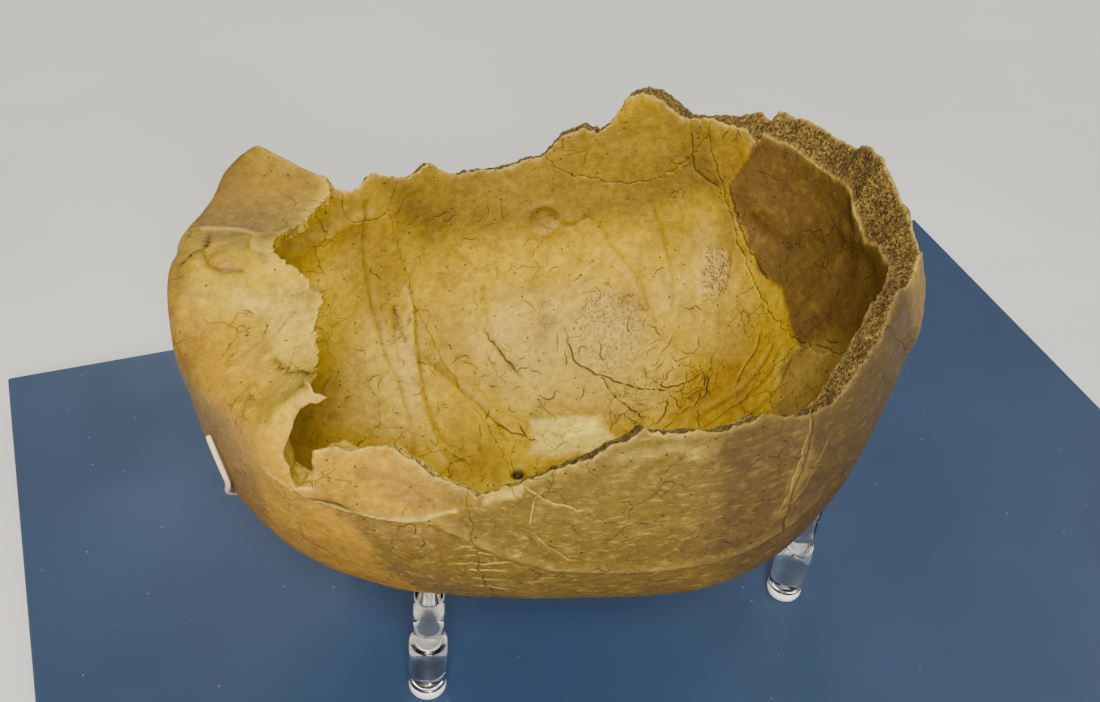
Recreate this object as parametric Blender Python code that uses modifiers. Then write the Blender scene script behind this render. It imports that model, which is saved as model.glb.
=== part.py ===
"""Fossil human braincase, shown upside down on clear rods over a blue board.

The bones are drawn in the skull's own frame, about a centre inside the braincase: +X to the
forehead, +Y to its left side and +Z to the crown. A direction from that centre is given as
(azimuth, elevation) in degrees. One radius function gives the outer face of the bone and one
the inner face, so each bone is the shell between them inside its own outline of broken edge
and sutures. skull_pose then turns the skull over and sets it on its rods.
"""
import math

import bmesh
import bpy
import numpy as np
from mathutils import Matrix, Vector
from mathutils.bvhtree import BVHTree
from mathutils.geometry import delaunay_2d_cdt

MM = 0.001
GAP = 0.3 * MM
TINY = 1e-12

# Braincase, from its centre
FRONT_REACH = 91.6 * MM
BACK_REACH = 87.6 * MM
HALF_BREADTH = 67.2 * MM
CROWN_HEIGHT = 76.0 * MM
BASE_DEPTH = 77.7 * MM
ROUNDNESS = 2.33
WALL = 6.8 * MM
INNER_RELIEF = 0.6

# Swellings and hollows of both sides: azimuth, elevation, height, and their widths in degrees
SWELLINGS = {
    "parietal_eminence": (129.6, 50.9, 9.5 * MM, 30, 24),
    "narrow_forehead": (46, 10, -4.2 * MM, 18, 30),
    "glabella": (0, -14, 2.6 * MM, 14, 8),
    "zygomatic_process": (34.5, -11, 9.5 * MM, 6, 10),
    "temporal_fossa": (56, -14, -6.3 * MM, 12, 16),
    "occiput": (180, -6, 5.0 * MM, 26, 15),
    "forehead": (0, 20, 2.1 * MM, 25, 22),
}
CROWN_FLATTENING = 3.6 * MM
CROWN_SPREAD = 25.0
LAMBDA_FLATTENING = 8.0 * MM
LAMBDA_ELEVATION = 42.0
LAMBDA_SPREAD = 22.0

# Orbit roofs: plates below the centre that slope to the brow, more so on the right, with a low
# ridge between them, and none at the sides
ROOF_DROP = 29.4 * MM
ROOF_BACK = 58.0 * MM
ROOF_SLOPE_LEFT = 0.06
ROOF_SLOPE_RIGHT = 0.45
ROOF_THICKNESS = 3.2 * MM
ROOF_TOP = -4.0
ROOF_DOME = 4.2 * MM
DOME_AZIMUTH = 25.0
DOME_ELEVATION = -24.0
DOME_WIDTH = 9.0
DOME_DEPTH = 5.0
ROOF_AZIMUTH = 24.0
ROOF_HALF_WIDTH = 17.0
NASAL_RIDGE = 5.0 * MM
NASAL_WIDTH = 7.0
SIDE_FALL = 32.0 * MM
BLEND = 5.5 * MM

# Broken edge, bone by bone, round the skull by rising azimuth: (azimuth, elevation)
EDGE = {
    "parietal_right": [
        (-141, -12), (-139, -9.9), (-135, -8.7), (-132.2, -5.8), (-128.7, -4.2), (-125, -4),
        (-119, -6.5), (-115, -9), (-109, -8), (-102, -10), (-92, -13), (-86, -11), (-77, -7),
        (-72, -4), (-66, -0.5), (-60, 2), (-58, 0.8)],
    "frontal": [
        (-58, 0.8), (-53, -1.4), (-50, -5.2), (-46, -10.3), (-42.2, -9.8), (-40.5, -11),
        (-38.8, -11), (-37.6, -3), (-35.6, -3.4), (-36.2, -12.6), (-37.4, -17.6), (-39.7, -19.4),
        (-36.5, -21), (-28, -20.1), (-20.5, -21.3), (-14.6, -24.6), (-7.7, -25), (-3.2, -25.5),
        (4, -26), (9, -24.2), (14.5, -24.2), (24, -23.3), (31.7, -25), (34.4, -22.2),
        (36, -20.2), (39.4, -17.3), (41.1, -14.8), (44, -13.4), (47, -6.5)],
    "sphenoid_left": [(47, -6.5), (50, -6.5), (53.5, -10.4), (60, -6.7)],
    "parietal_left": [
        (60, -6.7), (65, -6), (69.5, -7.9), (73, -4), (78, -0.9), (84, -1.3), (91, -0.3),
        (97, -1.2), (102, -2)],
    "temporal_left": [
        (102, -2), (106, -6.9), (112.4, -8.4), (115.8, -6.8), (118.8, -8.7), (120.9, -12.3),
        (122.8, -16.2), (126.6, -17), (131, -14.4), (135, -9.2), (141, -9.5)],
    "occipital": [
        (141, -9.5), (148.5, -11.4), (150.5, -10), (152, -12.8), (158, -12.2), (164, -11.6),
        (168, -11.8), (174, -15), (178.2, -15.6), (181.5, -12.4), (184.8, -10), (189, -9.6),
        (193, -7), (198, -10), (203, -13.5), (208, -13.4), (214, -15.2), (219, -12)],
}
# The inner table breaks higher or lower than the outer one: azimuth, elevation added to it
BEVEL = [
    (-179, 9), (-173, 5), (-167, 1), (-155, 2), (-145, 3), (-135, 3.5), (-120, 3), (-60, 2.5),
    (-46, 1.5), (-36, 2.3), (36, 2.3), (41, 0), (47, -2.8), (141, -2.8), (150, 2), (160, 3),
    (168, 3.5), (177, 7.5)]
BEVEL_REACH = 20.0
# Undercut beside the notch in the right brow: azimuth added to the inner table from the start to
# the end azimuth, which begins further back below the notch's mouth
UNDERCUT = 4.5
UNDERCUT_START = -38.6
UNDERCUT_RISE = 1.6
UNDERCUT_END = -26.0
UNDERCUT_FADE = 8.0
UNDERCUT_TOP = -2.0
UNDERCUT_DEPTH = 3.0
MOUTH = -12.0
MOUTH_DEPTH = 1.5
MOUTH_BACK = 3.4

# Sutures, from one junction to the next
SUTURES = {
    "coronal_left": [(57, 0.5), (59, 12), (59.5, 32), (58.6, 60), (50, 70), (0, 79)],
    "coronal_right": [(-58, 0.8), (-59.2, 12.9), (-59.4, 31.9), (-58.6, 60), (-50, 70), (0, 79)],
    "sagittal": [(0, 79), (60, 89), (178, 60), (181, 42), (179, 24.4)],
    "lambdoid_left": [
        (179, 24.4), (165.7, 24.9), (158, 22.8), (148.9, 16.1), (144.4, 5.6), (141.5, -2),
        (140.6, -6)],
    "mastoid_left": [(140.6, -6), (141, -9.5)],
    "lambdoid_right": [
        (179, 24.4), (184.7, 21.7), (191.5, 17.3), (197.9, 12.6), (208, 3), (214, -5),
        (219, -12)],
    "squamous_left": [
        (102, -2), (103.5, 0), (107, 2), (116, 5.6), (125.6, 6.6), (134, 2), (138.4, -3),
        (140.6, -6)],
    "spheno_frontal": [(47, -6.5), (46.4, 0), (52, 1.6), (57, 0.5)],
    "spheno_parietal": [(57, 0.5), (60, -6.7)],
}
# Each bone's outline: its broken edge, then its sutures in turn, "-" for one run backwards
BONES = {
    "frontal_bone": ["frontal", "spheno_frontal", "coronal_left", "-coronal_right"],
    "sphenoid_wing_left": ["sphenoid_left", "-spheno_parietal", "-spheno_frontal"],
    "parietal_left": [
        "parietal_left", "squamous_left", "-lambdoid_left", "-sagittal", "-coronal_left",
        "spheno_parietal"],
    "temporal_left": ["temporal_left", "-mastoid_left", "-squamous_left"],
    "occipital_bone": ["occipital", "-lambdoid_right", "lambdoid_left", "mastoid_left"],
    "parietal_right": ["parietal_right", "coronal_right", "sagittal", "lambdoid_right"],
}
SUTURE_INSET = 0.17
NEARLY_STRAIGHT = 0.15

# Mesh density, in degrees; rows beside the brow's crest follow it
EDGE_STEP = 4.0
RING_STEP = 5.4
RING_ROOM = 2.43
FIRST_RING = 2.16
LAST_RING = 112.0
BROW_AZIMUTH = 42.0
BROW_TOP = -1.0
BROW_SEARCH = np.linspace(-30, 0, 301)
BROW_COLUMN = 3.5
BROW_ROOM = 0.8
BROW_ROWS = (7, 4, 1.8, 0, -1.8, -3.6, -5.6, -7.8, -10, -12.5)
SLIVER = 1e-3
MERGED = 1e-6
SHARP = 40.0

# Board and rods
BOARD_WIDTH = 375.5 * MM
BOARD_DEPTH = 280 * MM
BOARD_THICKNESS = 12 * MM
BOARD_EDGE = 0.6 * MM
ROD_RADIUS = 5.25 * MM
ROD_NECK_RADIUS = 4.1 * MM
ROD_STEP_HEIGHT = 21 * MM
ROD_SIDES = 32
ROD_MERGE = 0.00001
WALL_HEIGHTS = 60
ROD_FRONT = (-84.6 * MM, -23.9 * MM)
ROD_RIGHT = (30.5 * MM, -24.5 * MM)
ROD_LEFT = (-86.3 * MM, 30 * MM)
ROD_BACK_X = -42.4 * MM
ROD_BACK_TOP = BOARD_THICKNESS + 97 * MM
PRONG_RADIUS = 0.65 * MM
PRONG_ROUTE = [(-16.4, -0.8), (-17.3, 4.5), (-17.6, 8), (-15, 11.5), (-3, 25), (6, 33), (13, 40)]
PRONG_STEP = 3.0
PRONG_BELOW_TOP = 2.0 * MM

# Skull on its rods: centre over the board, then turned over, pitched, rolled and turned
SKULL_CENTRE = Vector((-42.2 * MM, 7.6 * MM, BOARD_THICKNESS + 106.3 * MM))
SKULL_TURN = -6.0
SKULL_PITCH = -6.1
SKULL_ROLL = -1.9

COLOURS = {
    "frontal_bone": (0.50, 0.30, 0.12),
    "sphenoid_wing_left": (0.42, 0.29, 0.11),
    "parietal_left": (0.46, 0.33, 0.10),
    "temporal_left": (0.50, 0.35, 0.15),
    "occipital_bone": (0.20, 0.12, 0.05),
    "parietal_right": (0.28, 0.20, 0.09),
    "board": (0.065, 0.125, 0.25),
    "acrylic": (0.80, 0.88, 0.90),
    "prong": (0.75, 0.70, 0.62),
}
BONE_ROUGHNESS = 0.6
BOARD_ROUGHNESS = 0.6
ACRYLIC_ROUGHNESS = 0.05
PRONG_ROUGHNESS = 0.4


def skull_pose():
    """Matrix from the skull's frame to the board's."""
    turn = Matrix.Rotation(math.radians(SKULL_TURN), 4, "Z")
    pitch = Matrix.Rotation(math.radians(SKULL_PITCH), 4, "Y")
    roll = Matrix.Rotation(math.radians(SKULL_ROLL), 4, "X")
    upside_down = Matrix.Rotation(math.pi, 4, "Y")
    return Matrix.Translation(SKULL_CENTRE) @ turn @ pitch @ roll @ upside_down


def folded(azimuth):
    """Azimuth as the skull's other half mirrors it, 0 to 180."""
    return np.abs((azimuth + 180.0) % 360.0 - 180.0)


def smooth_minimum(a, b, width):
    """The smaller of a and b, rounded over where they cross."""
    mix = np.clip(0.5 + 0.5 * (b - a) / width, 0, 1)
    return b * (1 - mix) + a * mix - width * mix * (1 - mix)


def vault_radius(azimuth, elevation):
    """Radius of the plain rounded braincase."""
    a, e = np.radians(azimuth), np.radians(elevation)
    dx, dy, dz = np.cos(e) * np.cos(a), np.cos(e) * np.sin(a), np.sin(e)
    reach = np.where(dx >= 0, FRONT_REACH, BACK_REACH)
    height = np.where(dz >= 0, CROWN_HEIGHT, BASE_DEPTH)
    terms = np.abs(dx / reach) ** ROUNDNESS
    terms = terms + np.abs(dy / HALF_BREADTH) ** ROUNDNESS
    terms = terms + np.abs(dz / height) ** ROUNDNESS
    return terms ** (-1 / ROUNDNESS)


def swelling(azimuth, elevation):
    """Sum of the named swellings at a direction."""
    total = 0.0
    for centre, level, height, width, tallness in SWELLINGS.values():
        squeeze = np.cos(np.radians(elevation)) / math.cos(math.radians(level))
        across = (folded(azimuth) - centre) * squeeze / width
        along = (elevation - level) / tallness
        total = total + height * np.exp(-0.5 * (across ** 2 + along ** 2))
    return total


def flattening(azimuth, elevation):
    """How far the crown and the slope behind it lie inside the rounded form."""
    crown = CROWN_FLATTENING * np.exp(-0.5 * ((90 - elevation) / CROWN_SPREAD) ** 2)
    side = (180 - folded(azimuth)) * np.cos(np.radians(elevation))
    away = np.hypot(side, elevation - LAMBDA_ELEVATION)
    return crown + LAMBDA_FLATTENING * np.exp(-0.5 * (away / LAMBDA_SPREAD) ** 2)


def roof_radius(azimuth, elevation, lift):
    """Radius of the orbit roofs' lower face, or of the face that lies `lift` nearer the brain."""
    from_middle = folded(azimuth)
    outside = np.maximum(from_middle - ROOF_AZIMUTH, 0) / ROOF_HALF_WIDTH
    drop = ROOF_DROP + SIDE_FALL * (1 - np.exp(-outside ** 4))
    drop = drop + NASAL_RIDGE * np.exp(-(from_middle / NASAL_WIDTH) ** 2)
    across = (from_middle - DOME_AZIMUTH) / DOME_WIDTH
    along = (elevation - DOME_ELEVATION) / DOME_DEPTH
    dome = np.exp(-0.5 * (across ** 2 + along ** 2))
    change = 0.5 - 0.5 * np.tanh(((azimuth + 180) % 360 - 180) / NASAL_WIDTH)
    slope = ROOF_SLOPE_LEFT + (ROOF_SLOPE_RIGHT - ROOF_SLOPE_LEFT) * change
    a, e = np.radians(azimuth), np.radians(np.minimum(elevation, ROOF_TOP))
    fall = slope * np.maximum(np.cos(a), 0) * np.cos(e) - np.sin(e)
    return (drop + slope * ROOF_BACK - ROOF_DOME * dome - lift) / fall


def outer_radius(azimuth, elevation):
    """Centre to the outer face of the bone."""
    vault = vault_radius(azimuth, elevation) + swelling(azimuth, elevation)
    radius = smooth_minimum(vault, roof_radius(azimuth, elevation, 0), BLEND)
    return radius - flattening(azimuth, elevation)


def inner_radius(azimuth, elevation):
    """Centre to the inner face of the bone."""
    vault = vault_radius(azimuth, elevation) + INNER_RELIEF * swelling(azimuth, elevation) - WALL
    radius = smooth_minimum(vault, roof_radius(azimuth, elevation, ROOF_THICKNESS), BLEND)
    return radius - flattening(azimuth, elevation)


def edge_elevation(azimuth):
    """Elevation of the broken edge all round."""
    points = sorted({((a + 180) % 360 - 180, e) for run in EDGE.values() for a, e in run})
    return np.interp(azimuth, *zip(*points), period=360)


def inner_elevation(azimuth, elevation):
    """Elevation on the inner face that answers one on the outer face, near the edge."""
    shift = np.interp(azimuth, *zip(*BEVEL), period=360)
    away = np.clip((elevation - edge_elevation(azimuth)) / BEVEL_REACH, 0, 1)
    return elevation + shift * (1 - away) ** 2


def inner_azimuth(azimuth, elevation):
    """Azimuth on the inner face that answers one on the outer face, beside the notch."""
    back = MOUTH_BACK * np.clip((MOUTH - elevation) / MOUTH_DEPTH, 0, 1)
    start = np.clip((azimuth - UNDERCUT_START + back) / UNDERCUT_RISE, 0, 1)
    end = np.clip((UNDERCUT_END - azimuth) / UNDERCUT_FADE, 0, 1)
    below = np.clip((UNDERCUT_TOP - elevation) / UNDERCUT_DEPTH, 0, 1)
    return azimuth + UNDERCUT * start * end * below


def points_at(azimuth, elevation, radius):
    """Points in the skull's frame."""
    a, e = np.radians(azimuth), np.radians(elevation)
    across = radius * np.cos(e)
    return np.stack([across * np.cos(a), across * np.sin(a), radius * np.sin(e)], -1)


def to_map(directions):
    """Directions on a flat map with the crown in its middle, in degrees from it."""
    azimuth, elevation = np.asarray(directions, float).T
    a = np.radians(azimuth)
    return np.stack([(90 - elevation) * np.cos(a), (90 - elevation) * np.sin(a)], -1)


def from_map(places):
    """Azimuth and elevation of places on the map."""
    azimuth = np.degrees(np.arctan2(places[:, 1], places[:, 0]))
    return azimuth, 90 - np.hypot(places[:, 0], places[:, 1])


def resampled(line, step):
    """A map line with a point at each corner and about every step between them."""
    out = [line[:1]]
    for start, end in zip(line[:-1], line[1:]):
        count = max(1, round(float(np.hypot(*(end - start))) / step))
        out.append(start + (end - start) * np.linspace(0, 1, count + 1)[1:, None])
    return np.concatenate(out)


def bone_outline(runs):
    """Closed map outline of a bone, drawn in from its sutures by SUTURE_INSET."""
    places, insets = [], []
    for run in runs:
        name = run.lstrip("-")
        line = to_map(EDGE[name] if name in EDGE and run is runs[0] else SUTURES[name])
        line = resampled(line[::-1] if run.startswith("-") else line, EDGE_STEP)
        places.append(line[:-1])
        insets += [0.0 if run is runs[0] else SUTURE_INSET] * (len(line) - 1)
    return inset_outline(np.concatenate(places), np.array(insets))


def inset_outline(loop, insets):
    """Loop whose side i, from point i to the next, is moved to its left by insets[i]."""
    along = np.roll(loop, -1, 0) - loop
    along /= np.linalg.norm(along, axis=1)[:, None]
    normal = np.stack([-along[:, 1], along[:, 0]], -1)
    before, shift_before = np.roll(normal, 1, 0), np.roll(insets, 1)
    moved = loop.copy()
    for i in range(len(loop)):
        sides = np.array([before[i], normal[i]])
        if abs(np.linalg.det(sides)) > NEARLY_STRAIGHT:
            moved[i] += np.linalg.solve(sides, [shift_before[i], insets[i]])
        else:
            moved[i] += (before[i] + normal[i]) / 2 * max(shift_before[i], insets[i])
    return moved


def inside(places, loop):
    """Which places lie inside the closed loop."""
    result = np.zeros(len(places), bool)
    for start, end in zip(loop, np.roll(loop, -1, 0)):
        crosses = (start[1] > places[:, 1]) != (end[1] > places[:, 1])
        slope = (end[0] - start[0]) / ((end[1] - start[1]) or TINY)
        result ^= crosses & (places[:, 0] < start[0] + slope * (places[:, 1] - start[1]))
    return result


def brow_crest(azimuth):
    """Elevation where the forehead turns into the orbit's roof."""
    beyond = roof_radius(azimuth, BROW_SEARCH, 0) - vault_radius(azimuth, BROW_SEARCH)
    return BROW_SEARCH[np.argmin(np.abs(beyond - swelling(azimuth, BROW_SEARCH)))]


def lattice():
    """Map points in rings, closer beside the brow, each with the room it needs to an outline."""
    rings, ring, turn = [], FIRST_RING, 0.0
    while ring < LAST_RING:
        count = max(6, round(2 * math.pi * ring / RING_STEP))
        angles = (np.arange(count) + turn) * 360 / count
        level = np.full(count, 90 - ring)
        rings.append(np.column_stack([angles, level, np.full(count, RING_ROOM)]))
        ring, turn = ring + RING_STEP, 0.5 - turn
    rings = np.concatenate(rings)
    beside = (folded(rings[:, 0]) < BROW_AZIMUTH) & (rings[:, 1] < BROW_TOP)
    rows = [rings[~beside]]
    for azimuth in np.arange(-BROW_AZIMUTH + BROW_COLUMN, BROW_AZIMUTH, BROW_COLUMN):
        crest = brow_crest(azimuth)
        levels = [crest + step for step in BROW_ROWS if crest + step < BROW_TOP]
        rows.append([(azimuth, level, BROW_ROOM) for level in levels])
    rows = np.concatenate(rows)
    return to_map(rows[:, :2]), rows[:, 2]


def clear_of(places, room, loop):
    """Which places keep their own room from every side of the loop."""
    far = np.ones(len(places), bool)
    for start, end in zip(loop, np.roll(loop, -1, 0)):
        side = end - start
        share = np.clip((places - start) @ side / (side @ side), 0, 1)
        away = np.linalg.norm(places - (start + share[:, None] * side), axis=1)
        far &= away > room
    return far


def material(name, colour, roughness, transmission=0.0):
    """Principled material of one colour."""
    made = bpy.data.materials.new(name)
    made.use_nodes = True
    shader = made.node_tree.nodes["Principled BSDF"]
    shader.inputs["Base Color"].default_value = (*colour, 1)
    shader.inputs["Roughness"].default_value = roughness
    shader.inputs["Transmission Weight"].default_value = transmission
    return made


def add_object(name, mesh, collection, finish):
    """Object of its own material in the skull's collection."""
    made = bpy.data.objects.new(name, mesh)
    mesh.materials.append(finish)
    collection.objects.link(made)
    return made


def bone_mesh(name, runs):
    """Closed shell of one bone between the inner and outer radius."""
    loop = bone_outline(runs)
    spots, room = lattice()
    keep = inside(spots, loop)
    keep[keep] &= clear_of(spots[keep], room[keep], loop)
    places = np.concatenate([loop, spots[keep]])
    size = len(loop)
    sides = [(i, (i + 1) % size) for i in range(size)]
    corners = [Vector(place) for place in places]
    triangles = np.array(delaunay_2d_cdt(corners, sides, [], 0, MERGED, False)[2])
    edges = places[triangles[:, 1:]] - places[triangles[:, :1]]
    triangles = triangles[np.abs(np.linalg.det(edges)) > SLIVER]
    triangles = triangles[inside(places[triangles].mean(axis=1), loop)].tolist()
    azimuth, elevation = from_map(places)
    outer = points_at(azimuth, elevation, outer_radius(azimuth, elevation))
    level = inner_elevation(azimuth, elevation)
    turned = inner_azimuth(azimuth, elevation)
    inner = points_at(turned, level, inner_radius(turned, level))
    count = len(places)
    faces = list(triangles)
    faces += [[i + count for i in reversed(face)] for face in triangles]
    for i, j in sides:
        if np.linalg.norm(outer[i] - inner[j]) < np.linalg.norm(outer[j] - inner[i]):
            faces += [[j, i, j + count], [i, i + count, j + count]]
        else:
            faces += [[j, i, i + count], [j, i + count, j + count]]
    mesh = bpy.data.meshes.new(name)
    mesh.from_pydata(np.concatenate([outer, inner]).tolist(), [], faces)
    shell = bmesh.new()
    shell.from_mesh(mesh)
    bmesh.ops.recalc_face_normals(shell, faces=shell.faces)
    shell.to_mesh(mesh)
    shell.free()
    mesh.shade_smooth()
    mesh.set_sharp_from_angle(angle=math.radians(SHARP))
    return mesh


def add_bones(collection):
    """All the bones, under one empty that carries the skull's pose."""
    pose = bpy.data.objects.new("skull_pose", None)
    pose.matrix_world = skull_pose()
    collection.objects.link(pose)
    for name, runs in BONES.items():
        finish = material(name, COLOURS[name], BONE_ROUGHNESS)
        bone = add_object(name, bone_mesh(name, runs), collection, finish)
        bone.parent = pose


def skull_surface(collection):
    """Search tree over every bone's faces, in the board's frame."""
    places, faces = [], []
    pose = skull_pose()
    for name in BONES:
        mesh = collection.objects[name].data
        first = len(places)
        places += [pose @ v.co for v in mesh.vertices]
        faces += [[first + i for i in face.vertices] for face in mesh.polygons]
    return BVHTree.FromPolygons(places, faces)


def add_board(collection, finish):
    """Flat board with its top edges just broken."""
    shape = bmesh.new()
    bmesh.ops.create_cube(shape, size=1)
    size = Matrix.Diagonal((BOARD_WIDTH, BOARD_DEPTH, BOARD_THICKNESS, 1))
    bmesh.ops.transform(shape, matrix=size, verts=shape.verts)
    mesh = bpy.data.meshes.new("stand_base")
    shape.to_mesh(mesh)
    shape.free()
    board = add_object("stand_base", mesh, collection, finish)
    board.location.z = BOARD_THICKNESS / 2
    bevel = board.modifiers.new("broken_edges", "BEVEL")
    bevel.width = BOARD_EDGE
    bevel.segments = 1


def height_under(surface, x, y, radius):
    """Lowest bone over a disc of the given radius round (x, y)."""
    lowest = math.inf
    for reach in (0.0, radius / 2, radius):
        for turn in range(ROD_SIDES):
            angle = 2 * math.pi * turn / ROD_SIDES
            start = Vector((x + reach * math.cos(angle), y + reach * math.sin(angle), 0))
            hit = surface.ray_cast(start, Vector((0, 0, 1)))[0]
            if hit is not None:
                lowest = min(lowest, hit.z)
    return lowest


def add_rod(name, x, y, top, collection, finish):
    """Clear rod from the board to its top, turned down to a thinner neck above the step."""
    foot = BOARD_THICKNESS + GAP
    step = BOARD_THICKNESS + ROD_STEP_HEIGHT
    profile = [(0, top), (ROD_NECK_RADIUS, top), (ROD_NECK_RADIUS, step), (ROD_RADIUS, step),
               (ROD_RADIUS, foot), (0, foot)]
    mesh = bpy.data.meshes.new(name)
    sides = [(i, i + 1) for i in range(len(profile) - 1)]
    mesh.from_pydata([(radius, 0, height) for radius, height in profile], sides, [])
    rod = add_object(name, mesh, collection, finish)
    rod.location = (x, y, 0)
    turn = rod.modifiers.new("turned", "SCREW")
    turn.steps = ROD_SIDES
    turn.render_steps = ROD_SIDES
    turn.use_merge_vertices = True
    turn.merge_threshold = ROD_MERGE


def wall_behind(surface, x, bottom, top):
    """Furthest +Y that the bone reaches at x between two heights."""
    furthest = -math.inf
    for height in np.linspace(bottom, top, WALL_HEIGHTS):
        for side in (-ROD_NECK_RADIUS, 0.0, ROD_NECK_RADIUS):
            hit = surface.ray_cast(Vector((x + side, BOARD_DEPTH, height)), Vector((0, -1, 0)))[0]
            if hit is not None:
                furthest = max(furthest, hit.y)
    return furthest


def add_prong(rod_top, collection, finish):
    """Thin finger that lies along the forehead and ends beside the left rod's neck."""
    azimuth, elevation = resampled(np.array(PRONG_ROUTE), PRONG_STEP).T
    radius = outer_radius(azimuth, elevation) + PRONG_RADIUS + 2 * GAP
    curve = bpy.data.curves.new("stand_prong", "CURVE")
    curve.dimensions = "3D"
    curve.bevel_depth = PRONG_RADIUS
    curve.bevel_resolution = 2
    curve.use_fill_caps = True
    places = [skull_pose() @ Vector(place) for place in points_at(azimuth, elevation, radius)]
    axis = Vector((*ROD_LEFT, rod_top - PRONG_BELOW_TOP))
    outward = (places[-1] - axis) * Vector((1, 1, 0))
    places.append(axis + outward.normalized() * (ROD_NECK_RADIUS + 2 * GAP))
    line = curve.splines.new("POLY")
    line.points.add(len(places) - 1)
    for point, place in zip(line.points, places):
        point.co = (*place, 1)
    add_object("stand_prong", curve, collection, finish)


def add_stand(collection):
    """Board, four rods and the finger on the forehead."""
    surface = skull_surface(collection)
    add_board(collection, material("blue_board", COLOURS["board"], BOARD_ROUGHNESS))
    places = {
        "stand_rod_front": ROD_FRONT,
        "stand_rod_right": ROD_RIGHT,
        "stand_rod_left": ROD_LEFT,
    }
    tops = {}
    for name, (x, y) in places.items():
        tops[name] = height_under(surface, x, y, ROD_NECK_RADIUS) - GAP
        clear = material(name, COLOURS["acrylic"], ACRYLIC_ROUGHNESS, 1.0)
        add_rod(name, x, y, tops[name], collection, clear)
    wall = wall_behind(surface, ROD_BACK_X, BOARD_THICKNESS, ROD_BACK_TOP)
    clear = material("stand_rod_back", COLOURS["acrylic"], ACRYLIC_ROUGHNESS, 1.0)
    y = wall + ROD_NECK_RADIUS + 2 * GAP
    add_rod("stand_rod_back", ROD_BACK_X, y, ROD_BACK_TOP, collection, clear)
    pale = material("stand_prong", COLOURS["prong"], PRONG_ROUGHNESS)
    add_prong(tops["stand_rod_left"], collection, pale)


def main():
    """Clear the scene and build the skull on its stand."""
    for old in list(bpy.data.objects):
        bpy.data.objects.remove(old, do_unlink=True)
    collection = bpy.data.collections.new("fossil_skull")
    bpy.context.scene.collection.children.link(collection)
    add_bones(collection)
    add_stand(collection)


main()
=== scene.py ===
"""Fossil human braincase on clear rods over a blue board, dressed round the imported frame.

The bones are drawn as in the part's source: about a centre inside the braincase, with +X to the
forehead, +Y to its left side and +Z to the crown. A direction from that centre is given as
(azimuth, elevation) in degrees, and a flat map of them has the crown in its middle.
"""
import itertools
import math

import bmesh
import bpy
import numpy as np
from bpy.props import FloatProperty, FloatVectorProperty, IntProperty, PointerProperty
from mathutils import Matrix, Vector
from mathutils.geometry import delaunay_2d_cdt
from mathutils.kdtree import KDTree


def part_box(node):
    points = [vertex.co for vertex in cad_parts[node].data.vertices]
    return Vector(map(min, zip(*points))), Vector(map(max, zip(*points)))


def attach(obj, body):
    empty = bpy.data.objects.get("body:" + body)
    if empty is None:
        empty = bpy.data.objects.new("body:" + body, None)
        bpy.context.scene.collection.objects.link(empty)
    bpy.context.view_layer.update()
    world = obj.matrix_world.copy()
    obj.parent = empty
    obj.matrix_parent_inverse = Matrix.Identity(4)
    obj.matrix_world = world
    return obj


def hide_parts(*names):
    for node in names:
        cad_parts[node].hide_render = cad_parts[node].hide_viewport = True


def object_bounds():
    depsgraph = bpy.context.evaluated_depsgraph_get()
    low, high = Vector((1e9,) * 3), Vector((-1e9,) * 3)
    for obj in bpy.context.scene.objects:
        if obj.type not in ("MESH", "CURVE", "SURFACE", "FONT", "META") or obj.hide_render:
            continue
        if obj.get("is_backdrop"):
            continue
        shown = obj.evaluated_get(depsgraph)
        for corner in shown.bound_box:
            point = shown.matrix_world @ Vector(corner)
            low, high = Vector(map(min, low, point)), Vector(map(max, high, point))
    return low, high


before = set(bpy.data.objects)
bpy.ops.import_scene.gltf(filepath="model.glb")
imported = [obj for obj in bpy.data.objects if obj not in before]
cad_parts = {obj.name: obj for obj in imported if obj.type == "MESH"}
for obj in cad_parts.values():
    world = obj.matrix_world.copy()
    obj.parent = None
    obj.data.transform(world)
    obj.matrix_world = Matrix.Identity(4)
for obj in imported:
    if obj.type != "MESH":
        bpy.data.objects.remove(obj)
cad_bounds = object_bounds()

bl_info = {
    "name": "Fossil braincase",
    "version": (1, 0, 0),
    "blender": (4, 5, 0),
    "location": "3D View > Sidebar > Fossil",
    "description": "Broken fossil braincase held upside down on clear rods over a board",
    "category": "Object",
}

MM = 0.001
TINY = 1e-12
TINY_SQUARE = 1e-18

# Braincase, from its centre
FRONT_REACH = 91.6 * MM
BACK_REACH = 87.6 * MM
HALF_BREADTH = 67.2 * MM
CROWN_HEIGHT = 76.0 * MM
BASE_DEPTH = 77.7 * MM
ROUNDNESS = 2.33
WALL = 6.8 * MM
INNER_RELIEF = 0.6

# Swellings and hollows of both sides: azimuth, elevation, height, and their widths in degrees
SWELLINGS = {
    "parietal_eminence": (129.6, 50.9, 9.5 * MM, 30, 24),
    "narrow_forehead": (46, 10, -4.2 * MM, 18, 30),
    "glabella": (0, -14, 2.6 * MM, 14, 8),
    "zygomatic_process": (34.5, -11, 9.5 * MM, 6, 10),
    "temporal_fossa": (56, -14, -6.3 * MM, 12, 16),
    "occiput": (180, -6, 5.0 * MM, 26, 15),
    "forehead": (0, 20, 2.1 * MM, 25, 22),
}
CROWN_FLATTENING = 3.6 * MM
CROWN_SPREAD = 25.0
LAMBDA_FLATTENING = 8.0 * MM
LAMBDA_ELEVATION = 42.0
LAMBDA_SPREAD = 22.0

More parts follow.
